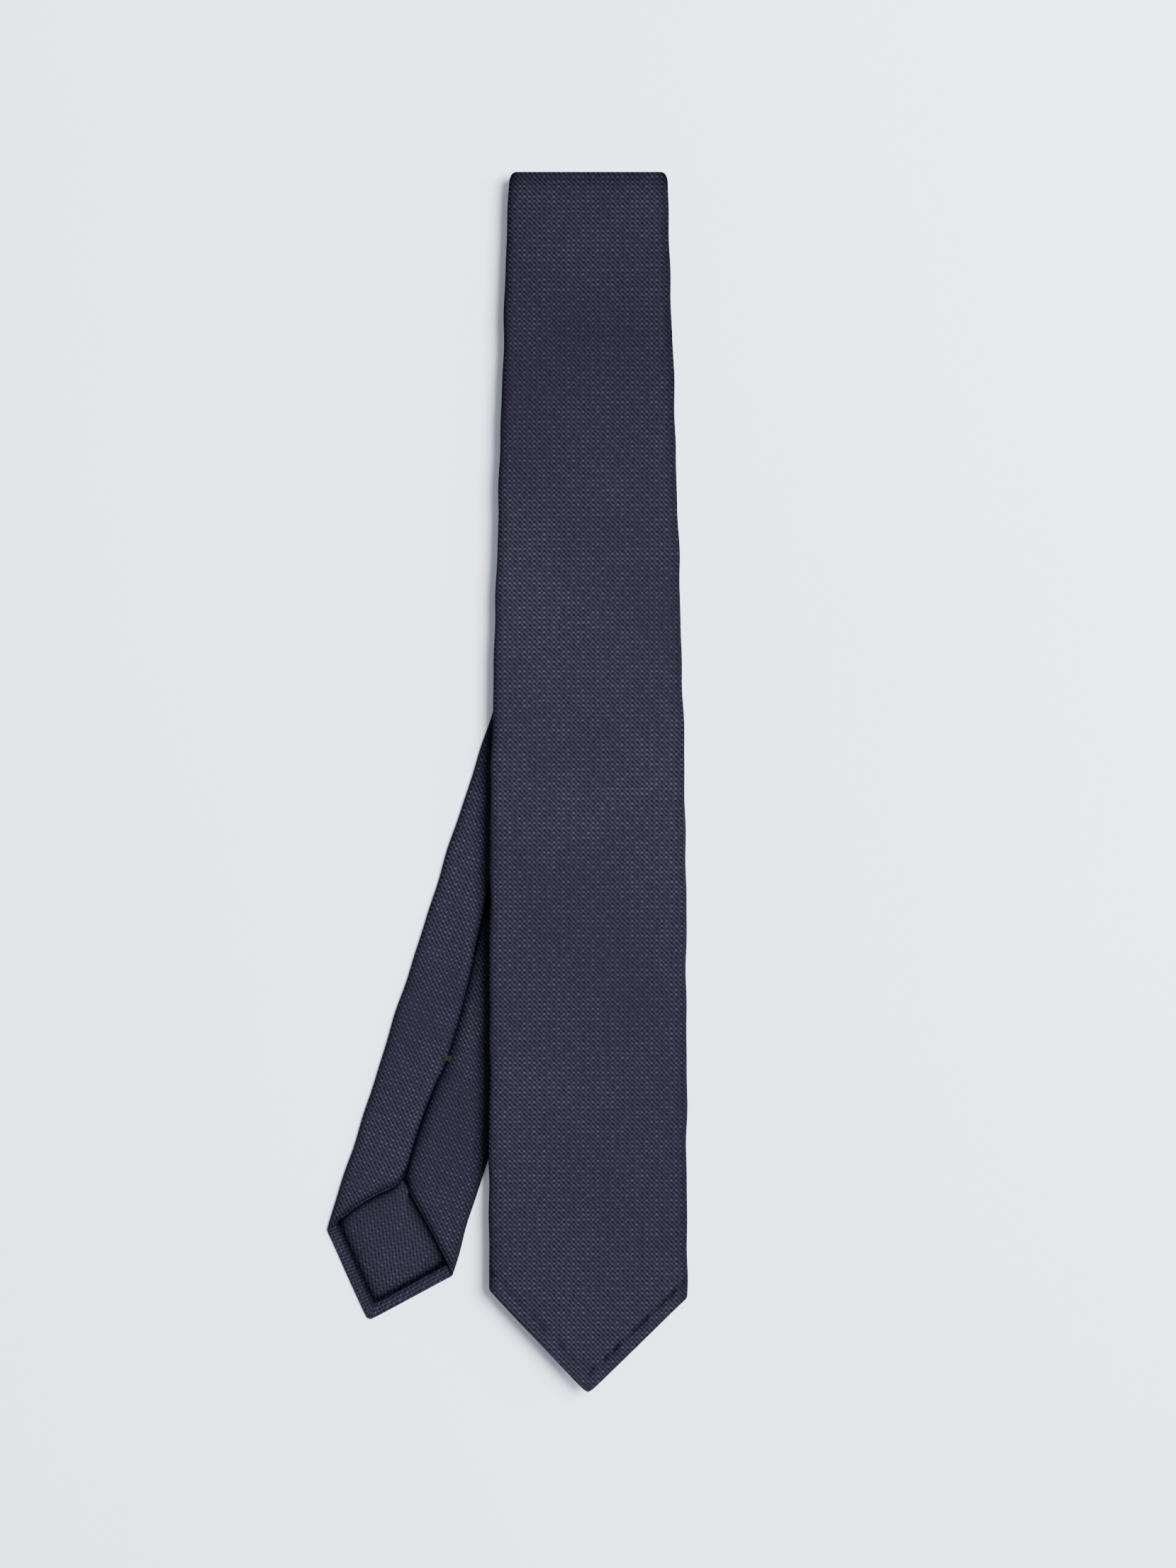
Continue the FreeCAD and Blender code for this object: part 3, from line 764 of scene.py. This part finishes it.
def bar_tack(name, where, s):
    """A dense bar of satin stitches over the end of the back seam."""
    u = float(seam_place(s))
    across, along = 3.8, 2.0
    strands = 13
    out = back_height(s)
    paths = []
    for i in range(strands):
        share = (i + 0.5) / strands
        place = s + (share - 0.5) * along
        lean = 0.30 * math.sin(i * 2.4)
        reach = across / 2 + 0.30 * math.sin(i * 1.7 + 1)
        x = np.linspace(-1, 1, 15)
        crown = 0.16 * np.sin(math.pi * (x + 1) / 2) ** 0.5 * (1 - 0.35 * (2 * share - 1) ** 2)
        n = out - crown + 0.16 * (np.abs(x) > 0.98)
        paths.append(placed(where, u + x * reach, place + lean * x, n))
    for side in (-1, 1):
        y = np.linspace(-1, 1, 11)
        n = out - 0.14 - 0.06 * np.sin(math.pi * (y + 1) / 2)
        paths.append(placed(where, u + side * (across / 2 - 0.35) + 0.1 * y, s + y * along / 2, n))
    return thread_mesh(name, paths, 0.11, sides=7)


def hem_stitches(name, where, tip):
    """Small slanting stitches that catch the tipping just inside the hem's inner edge."""
    paths = []
    for side in (-1, 1):
        slope = float(tip.slope(np.array(side * 1.0)))
        norm = math.sqrt(1 + slope * slope)
        v = 5.5
        limit = float(half_width(tip.at + tip.way * 35)) - 5.5
        while v < limit:
            x = np.linspace(0, 1, 7)
            u = side * (v + x * 0.5)
            inward = HEM - 0.15 + x * 0.50
            t = tip.edge(u) + inward * norm
            s = tip.at + tip.way * t
            deep = CLOTH / 2 + 2 * HEM_FOLD + CLOTH / 2 + 0.02
            n = FACE - deep - 0.06 * np.sin(math.pi * x) + 0.16 * (x > 0.9) + 0.12 * (x < 0.1)
            paths.append(placed(where, u, s, n))
            v += 4.6 + 0.6 * math.sin(v * 1.3)
    return thread_mesh(name, paths, 0.06)


def seam_stitches(name, where, seam):
    """Machine stitches along a bias seam, inside the tie, holding the two lengths of silk together."""
    paths = []
    reach = float(half_width(seam)) - 3.5
    place = -reach
    while place < reach - 2.2:
        x = np.linspace(0, 1, 6)
        u = place + x * 1.9
        s = seam + u + 0.1 * np.sin(math.pi * x)
        n = HALF_LAYER - CLOTH - 0.30 - 0.12 * np.sin(math.pi * x)
        paths.append(placed(where, u, s, n))
        place += 2.3
    return thread_mesh(name, paths, 0.10)


KEEPER_PLACE = 225.0
KEEPER = (46.0, 15.0, 0.3)


def keeper_loop():
    """A folded band of the silk across the back, caught down at its ends."""
    across, along, thick = KEEPER
    x = np.linspace(-1, 1, 60)[None, :]
    y = np.linspace(-1, 1, 24)[:, None]
    outside = back_height(KEEPER_PLACE)
    lift = 0.14 + 0.16 * smooth((1 - np.abs(x)) / 0.22) - 0.05 * np.abs(y) ** 6
    u = x * across / 2 * (1 - 0.006 * y * y) + 0 * y
    s = KEEPER_PLACE + y * along / 2 * (1 + 0.02 * np.cos(x * 3)) + 0.25 * np.sin(x * 2.1)
    n = outside - lift - 0.02
    points = placed(blade_map, u, s, n)
    uv = np.stack(np.broadcast_arrays(s, u), -1)
    # The last grid is painted shade, darkening the band towards its ends where it turns down to its stitches
    return points, uv, np.full(points.shape[:2], thick * 0.8), 0.25 * np.abs(y) ** 8 + 0 * x


def keeper_stitches(name):
    """Two rows of overcast stitches that hold the loop's ends."""
    across, along, _ = KEEPER
    outside = back_height(KEEPER_PLACE)
    paths = []
    for side in (-1, 1):
        for i in range(11):
            y = (i + 0.5) / 11 * 2 - 1
            x = np.linspace(0, 1, 8)
            u = side * (across / 2 - 1.6 + x * 2.4)
            s = KEEPER_PLACE + y * (along / 2 - 1.0) + 0.35 * x
            n = outside - 0.34 + 0.30 * x ** 2 - 0.02 * np.sin(math.pi * x)
            paths.append(placed(blade_map, u, s, n))
    return thread_mesh(name, paths, 0.1)


LABEL_PLACE = 176.0
LABEL = (24.0, 34.0)


def care_label():
    """A blank woven label with a slightly curled lower end, its upper edge caught in the seam."""
    across, along = LABEL
    x = np.linspace(-1, 1, 40)[None, :]
    y = np.linspace(0, 1, 60)[:, None]
    outside = back_height(LABEL_PLACE)
    u = x * across / 2 + 0 * y + 0.25 * np.sin(y * 3)
    s = LABEL_PLACE - y * along + 0 * x
    curl = 0.14 * np.abs(x) ** 4 + 0.12 * y ** 3 + 0.05 * np.sin(y * 9 + x * 2)
    n = outside - 0.26 - curl
    points = placed(blade_map, u, s, n)
    uv = np.stack(np.broadcast_arrays(u, s), -1)
    return points, uv, np.full(points.shape[:2], 0.18), 0.0


# ---- Materials ----
def linear(red, green, blue):
    """Linear colour from the 0 to 255 values of a display colour."""
    def channel(c):
        c /= 255
        return c / 12.92 if c <= 0.04045 else ((c + 0.055) / 1.055) ** 2.4

    return (channel(red), channel(green), channel(blue), 1.0)


class Shader:
    """A material's node tree, with short names for the nodes that the cloth needs."""

    def __init__(self, name, roughness, sheen=0.0, sheen_tint=(1, 1, 1, 1), specular=0.3):
        self.material = bpy.data.materials.new(name)
        self.material.use_nodes = True
        self.tree = self.material.node_tree
        self.surface = next(n for n in self.tree.nodes if n.type == "BSDF_PRINCIPLED")
        for socket, value in (
            ("Roughness", roughness), ("Specular IOR Level", specular),
            ("Sheen Weight", sheen), ("Sheen Roughness", 0.45), ("Sheen Tint", sheen_tint),
        ):
            self.surface.inputs[socket].default_value = value

    def put(self, socket, value):
        if isinstance(value, bpy.types.NodeSocket):
            self.tree.links.new(value, socket)
        else:
            socket.default_value = value

    def node(self, kind, **settings):
        made = self.tree.nodes.new(kind)
        for key, value in settings.items():
            setattr(made, key, value)
        return made

    def math(self, operation, a, b=0.0, clamp=False):
        made = self.node("ShaderNodeMath", operation=operation, use_clamp=clamp)
        for socket, value in zip(made.inputs, (a, b, 0.0)):
            self.put(socket, value)
        return made.outputs[0]

    def plus(self, a, b):
        return self.math("ADD", a, b)

    def minus(self, a, b):
        return self.math("SUBTRACT", a, b)

    def times(self, a, b, clamp=False):
        return self.math("MULTIPLY", a, b, clamp)

    def added(self, value, *parts):
        """The value, plus each part by its weight."""
        for part, weight in parts:
            value = self.plus(value, self.times(part, weight))
        return value

    def uv(self):
        split = self.node("ShaderNodeSeparateXYZ")
        self.put(split.inputs[0], self.node("ShaderNodeUVMap", uv_map="Weave").outputs[0])
        return split.outputs[0], split.outputs[1]

    def vector(self, x, y):
        made = self.node("ShaderNodeCombineXYZ")
        for socket, value in zip(made.inputs, (x, y)):
            self.put(socket, value)
        return made.outputs[0]

    def noise(self, vector, scale, detail=3.0, roughness=0.5):
        made = self.node("ShaderNodeTexNoise")
        self.put(made.inputs["Vector"], vector)
        for socket, value in (("Scale", scale), ("Detail", detail), ("Roughness", roughness)):
            made.inputs[socket].default_value = value
        return made.outputs[0]

    def mix(self, share, a, b, blend="MIX"):
        made = self.node("ShaderNodeMix", data_type="RGBA", blend_type=blend)
        self.put(made.inputs[0], share)
        self.put(made.inputs[6], a)
        self.put(made.inputs[7], b)
        return made.outputs[2]

    def ramp(self, value, low, high, low_out=0.0, high_out=1.0):
        made = self.node("ShaderNodeMapRange", interpolation_type="SMOOTHSTEP")
        for socket, item in zip(made.inputs, (value, low, high, low_out, high_out)):
            self.put(socket, item)
        return made.outputs[0]

    def relief(self, height, distance, strength):
        made = self.node("ShaderNodeBump")
        made.inputs["Strength"].default_value = strength
        made.inputs["Distance"].default_value = distance
        self.put(made.inputs["Height"], height)
        self.put(self.surface.inputs["Normal"], made.outputs[0])

    def colour(self, value):
        self.put(self.surface.inputs["Base Color"], value)


WEAVE_PITCH = 0.00197   # one cell of the weave, in metres
SILK_SHEEN = 0.015
SILK_SPECULAR = 0.055
THREAD_TWIST = 9000.0   # radians of the plies' winding for each metre


def lattice_spot(sh, x, y, shift, long, wide):
    """A soft oval spot in each cell of the weave: long to the upper right, wide to the lower right."""
    fx = sh.plus(x, -shift[0])
    fy = sh.plus(y, -shift[1])
    fx = sh.minus(fx, sh.math("ROUND", fx))
    fy = sh.minus(fy, sh.math("ROUND", fy))
    along = sh.times(sh.plus(fx, fy), 0.7071 / long)
    across = sh.times(sh.minus(fy, fx), 0.7071 / wide)
    square = sh.plus(sh.times(along, along), sh.times(across, across))
    return sh.math("EXPONENT", sh.times(square, -1.0))


def silk(name, ground, dot, pit, cool, warm, mirror=1.0):
    """The silk: a small basket of light dots and dark pits, with fine yarns, uneven dye and a faint sheen."""
    sh = Shader(name, 0.62, SILK_SHEEN, linear(150, 150, 200), SILK_SPECULAR)
    across, along = sh.uv()
    x = sh.times(across, mirror / WEAVE_PITCH)
    y = sh.times(along, 1 / WEAVE_PITCH)
    place = sh.vector(x, y)
    stray = sh.noise(place, 0.55, 2.0)
    x = sh.plus(x, sh.times(sh.minus(stray, 0.5), 0.42))
    y = sh.plus(y, sh.times(sh.minus(sh.noise(place, 0.47, 2.0), 0.5), 0.42))
    cell = sh.node("ShaderNodeTexWhiteNoise", noise_dimensions="2D")
    sh.put(cell.inputs["Vector"], sh.vector(sh.math("ROUND", x), sh.math("ROUND", y)))
    lively = sh.ramp(cell.outputs[0], 0.0, 1.0, 0.35, 1.0)
    dots = sh.times(lattice_spot(sh, x, y, (0.0, 0.0), 0.25, 0.17), lively)
    pits = lattice_spot(sh, x, y, (0.04, -0.42), 0.17, 0.42)
    floats = lattice_spot(sh, x, y, (0.47, -0.42), 0.20, 0.38)
    bands = sh.math("COSINE", sh.times(sh.plus(x, y), 2 * math.pi))
    yarn_a = sh.math("SINE", sh.times(sh.plus(sh.times(x, 6.0), y), 2 * math.pi))
    yarn_b = sh.math("SINE", sh.times(sh.minus(sh.times(y, 7.0), x), 2 * math.pi))
    yarns = sh.times(sh.plus(yarn_a, yarn_b), 0.5)
    fibre = sh.noise(place, 9.0, 3.0)
    dye = sh.noise(place, 0.018, 3.0)
    slub = sh.noise(sh.vector(sh.times(x, 0.35), sh.times(y, 4.0)), 0.5, 3.0)

    colour = sh.mix(sh.ramp(bands, -1.0, 1.0, 0.0, 0.10), ground, dot)
    colour = sh.mix(sh.times(floats, 0.34), colour, dot)
    colour = sh.mix(sh.times(pits, 0.92), colour, pit)
    colour = sh.mix(dots, colour, dot)
    colour = sh.mix(sh.ramp(dye, 0.36, 0.60, 0.0, 0.32), colour, cool)
    colour = sh.mix(sh.ramp(dye, 0.52, 0.68, 0.0, 0.34), colour, warm)
    shade = sh.added(0.80, (fibre, 0.22), (slub, 0.18), (yarns, 0.04))
    tone = sh.node("ShaderNodeCombineColor")
    for socket in tone.inputs:
        sh.put(socket, shade)
    colour = sh.mix(1.0, colour, tone.outputs[0], "MULTIPLY")
    # Painted shade: the silk is painted towards near black as its stored painted shade rises, and its
    # specular and sheen fade with it
    painted_shade = sh.node("ShaderNodeAttribute", attribute_name="PaintedShade").outputs["Fac"]
    colour = sh.mix(sh.times(painted_shade, 0.90, clamp=True), colour, linear(1, 1, 3))
    sh.colour(colour)
    sh.put(sh.surface.inputs["Specular IOR Level"], sh.ramp(painted_shade, 0.0, 1.0, SILK_SPECULAR, 0.0))
    sh.put(sh.surface.inputs["Sheen Weight"], sh.ramp(painted_shade, 0.0, 1.0, SILK_SHEEN, 0.0))
    height = sh.minus(dots, sh.times(pits, 0.9))
    height = sh.added(height, (floats, 0.45), (yarns, 0.14), (fibre, 0.25))
    sh.relief(height, 0.00016, 0.6)
    sh.put(sh.surface.inputs["Roughness"], sh.ramp(dots, 0.0, 0.9, 0.72, 0.52))
    return sh.material


def felt(name, base, light):
    """Brushed wool interlining: matted fibres over an open weave."""
    sh = Shader(name, roughness=0.95, sheen=0.25, specular=0.1)
    across, along = sh.uv()
    place = sh.vector(sh.times(across, 1000.0), sh.times(along, 1000.0))
    fibres = sh.noise(place, 2.6, 6.0, 0.7)
    clumps = sh.noise(place, 0.35, 3.0)
    grid = sh.times(sh.math("SINE", sh.times(across, 5200.0)), sh.math("SINE", sh.times(along, 5200.0)))
    colour = sh.mix(sh.ramp(fibres, 0.35, 0.65), base, light)
    colour = sh.mix(sh.ramp(clumps, 0.4, 0.7, 0.0, 0.4), colour, base)
    sh.colour(colour)
    sh.relief(sh.plus(fibres, sh.times(grid, 0.15)), 0.0002, 0.8)
    return sh.material


def thread(name, dark, light):
    """Twisted sewing thread: plies winding round its length, with a little fluff."""
    sh = Shader(name, roughness=0.7, sheen=0.03, specular=0.08)
    around, along = sh.uv()
    wind = sh.plus(sh.times(around, THREAD_TWIST), sh.times(along, THREAD_TWIST))
    ply = sh.math("SINE", wind)
    fluff = sh.noise(sh.vector(sh.times(around, 4000.0), sh.times(along, 2500.0)), 1.0, 3.0)
    colour = sh.mix(sh.ramp(ply, -0.8, 0.9), dark, light)
    colour = sh.mix(sh.ramp(fluff, 0.3, 0.8, 0.0, 0.5), colour, dark)
    sh.colour(colour)
    sh.relief(sh.plus(ply, fluff), 0.00005, 0.6)
    return sh.material


def tape(name, ground, light):
    """Fine satin label tape: close horizontal yarns with a soft gloss."""
    sh = Shader(name, roughness=0.62, sheen=0.05, specular=0.15)
    across, along = sh.uv()
    weft = sh.math("SINE", sh.times(along, 2 * math.pi / 0.00028))
    warp = sh.math("SINE", sh.times(across, 2 * math.pi / 0.00040))
    mottle = sh.noise(sh.vector(sh.times(across, 300.0), sh.times(along, 900.0)), 1.0, 3.0)
    colour = sh.mix(sh.ramp(weft, -1.0, 1.0, 0.1, 0.8), ground, light)
    colour = sh.mix(sh.ramp(mottle, 0.35, 0.75, 0.0, 0.4), colour, ground)
    sh.colour(colour)
    sh.relief(sh.plus(weft, sh.times(warp, 0.4)), 0.00004, 0.5)
    return sh.material


# The material slots of the record, and the material in each
SILK, LINING_SILK, WOOL = "silk_shell", "silk_tipping", "wool_interlining"
NAVY_THREAD, OLIVE_THREAD, LABEL_TAPE = "navy_thread", "olive_thread", "label_tape"
MATERIALS = {
    SILK: silk(
        SILK, ground=linear(15, 14, 24), dot=linear(54, 52, 71), pit=linear(2, 2, 4),
        cool=linear(10, 13, 26), warm=linear(21, 15, 28),
    ),
    LINING_SILK: silk(
        LINING_SILK, ground=linear(19, 17, 27), dot=linear(46, 44, 61), pit=linear(3, 3, 6),
        cool=linear(14, 16, 28), warm=linear(24, 18, 29), mirror=-1.0,
    ),
    WOOL: felt(WOOL, linear(196, 190, 176), linear(226, 222, 210)),
    NAVY_THREAD: thread(NAVY_THREAD, linear(9, 9, 17), linear(24, 25, 40)),
    OLIVE_THREAD: thread(OLIVE_THREAD, linear(6, 7, 6), linear(38, 42, 30)),
    LABEL_TAPE: tape(LABEL_TAPE, linear(198, 195, 186), linear(224, 222, 214)),
}


def folded(piece):
    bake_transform(piece)


def dressed(piece, slot, replaces):
    piece.data.materials.append(MATERIALS[slot])
    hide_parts(*replaces)


def cloth_piece(name, made, slot, replaces, fold=None, body=None):
    """A sheet of cloth that is drawn turned over at a fold and stays where it is drawn, or that rides on one
    body.
    """
    points, uv, thick, painted_shade = made
    uv = uv * MM
    piece = sheet_mesh(name, points, uv, thick, painted_shade)
    dressed(piece, slot, replaces)
    if fold:
        folded(piece)
    else:
        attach(piece, body)


def sewn(piece, slot, replaced, body):
    dressed(piece, slot, (replaced,))
    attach(piece, body)


for name, made, slot, replaces, rests_on, fold in (
    ("blade_shell", blade_shell(), SILK,
     ("blade_shell_front", "blade_shell_top_fold", "blade_shell_under"), "neck_shell", "top"),
    ("neck_shell", neck_shell(), SILK,
     ("neck_shell_under", "neck_shell_bottom_fold", "neck_shell_lower"), "tail_shell", "bottom"),
    ("tail_shell_silk", tail_shell(), SILK,
     ("tail_shell_upper", "tail_shell_fold", "tail_shell"), "floor", "turn"),
    ("blade_wool", interlining(blade_map, 0.0, BLADE_SEAM, TOP_APEX, 0.0, BLADE_TIP), WOOL,
     ("blade_interlining", "top_fold_interlining", "under_interlining"), "blade_shell", "top"),
    ("neck_wool", interlining(neck_map, BLADE_SEAM, TAIL_SEAM, BOTTOM_APEX, 0.0), WOOL,
     ("bottom_fold_interlining", "neck_interlining"), "neck_shell", "bottom"),
    ("tail_wool", interlining(tail_map, TAIL_SEAM, TIE_LENGTH, TURN_APEX, TURN_TILT, TAIL_TIP), WOOL,
     ("tail_fold_interlining", "tail_interlining"), "tail_shell_silk", "turn"),
):
    cloth_piece(name, made, slot, replaces, fold=fold)
for name, made, slot, replaced, held, rests_on, body in (
    ("blade_tipping_silk", tipping(blade_map, BLADE_TIP, BLADE_TIPPING), LINING_SILK, "blade_tipping",
     "laid", "blade_wool", "front_blade"),
    ("tail_tipping_silk", tipping(tail_map, TAIL_TIP, TAIL_TIPPING), LINING_SILK, "tail_tipping",
     "laid", "tail_wool", "tail_layer"),
    ("keeper_band", keeper_loop(), SILK, "keeper_loop", "stretched", "blade_shell", "front_blade"),
    ("blank_label", care_label(), LABEL_TAPE, "care_label", "laid", "blade_shell", "front_blade"),
):
    cloth_piece(name, made, slot, (replaced,), body=body)

BLADE_TACK = 102.0
TAIL_TACK = TIE_LENGTH - 109.6
sewn(bar_tack("blade_tack", blade_map, BLADE_TACK), OLIVE_THREAD, "blade_bar_tack", "front_blade")
sewn(bar_tack("tail_tack", tail_map, TAIL_TACK), OLIVE_THREAD, "tail_bar_tack", "tail_layer")
for piece, replaced, body in (
    (hem_stitches("blade_hem_stitches", blade_map, BLADE_TIP), "blade_tipping_stitches", "front_blade"),
    (hem_stitches("tail_hem_stitches", tail_map, TAIL_TIP), "tail_tipping_stitches", "tail_layer"),
    (keeper_stitches("keeper_stitches"), "keeper_loop_stitches", "front_blade"),
    (slip_stitches("blade_slip", blade_map, BLADE_TACK + 8, TOP.end[1] - 8),
     "blade_slip_stitch", "front_blade"),
    (slip_stitches("under_slip", blade_map, UNDER_START + 8, BLADE_SEAM - 12),
     "under_slip_stitch", "under_layer"),
    (slip_stitches("neck_slip", neck_map, NECK_START + 8, TAIL_SEAM - 12), "neck_slip_stitch", "neck_layer"),
    (slip_stitches("tail_slip", tail_map, TURN_AT + 16, TAIL_TACK - 8), "tail_slip_stitch", "tail_layer"),
    (seam_stitches("blade_neck_seam_thread", blade_map, BLADE_SEAM),
     "blade_neck_seam_stitches", "under_layer"),
    (seam_stitches("neck_tail_seam_thread", neck_map, TAIL_SEAM),
     "neck_tail_seam_stitches", "neck_layer"),
):
    sewn(piece, NAVY_THREAD, replaced, body)


# ---- Floor, light and camera ----
CAMERA_LENS = 102.2
CAMERA_PLACE = 244.3    # up from the blade's tip
CAMERA_HEIGHT = 1.8     # metres


def studio_floor():
    sh = Shader("studio_floor", roughness=0.9, specular=0.15)
    place = sh.node("ShaderNodeTexCoord").outputs["Object"]
    mottle = sh.noise(place, 3.0, 2.0)
    sh.colour(sh.mix(sh.ramp(mottle, 0.3, 0.7), linear(230, 236, 254), linear(232, 238, 255)))
    mesh = bpy.data.meshes.new("studio_floor")
    reach = 3.0
    corners = [(-reach, -reach, 0), (reach, -reach, 0), (reach, reach, 0), (-reach, reach, 0)]
    mesh.from_pydata(corners, [], [(0, 1, 2, 3)])
    floor = scene_object("floor", mesh)
    mesh.materials.append(sh.material)


def area_light(name, place, aim, size, power, colour):
    light = bpy.data.lights.new(name, "AREA")
    light.shape = "RECTANGLE"
    light.size, light.size_y = size
    light.energy = power
    light.color = colour
    lamp = scene_object(name, light)
    lamp.location = place
    direction = Vector(aim) - Vector(place)
    lamp.rotation_euler = direction.to_track_quat("-Z", "Y").to_euler()


def camera():
    """A camera straight above the tie."""
    data = bpy.data.cameras.new("camera")
    data.sensor_width = 36.0
    data.lens = CAMERA_LENS
    data.clip_end = 20.0
    view = scene_object("camera", data)
    view.location = (AXIS_X * MM, (TIP_Y + CAMERA_PLACE) * MM, CAMERA_HEIGHT)
    bpy.context.scene.camera = view


def surroundings(colour, strength):
    world = bpy.data.worlds.new("soft_white")
    bpy.context.scene.world = world
    world.use_nodes = True
    background = world.node_tree.nodes["Background"]
    background.inputs["Color"].default_value = colour
    background.inputs["Strength"].default_value = strength


studio_floor()
camera()
surroundings((0.96, 0.975, 1.0, 1.0), 0.57)
area_light("key", (1.44, 0.50, 2.25), (0, 0, 0), (1.5, 1.5), 320.0, (1.0, 0.995, 1.0))
area_light("low", (2.9, 0.6, 1.0), (0, 0, 0), (0.8, 0.5), 75.0, (0.98, 0.99, 1.0))
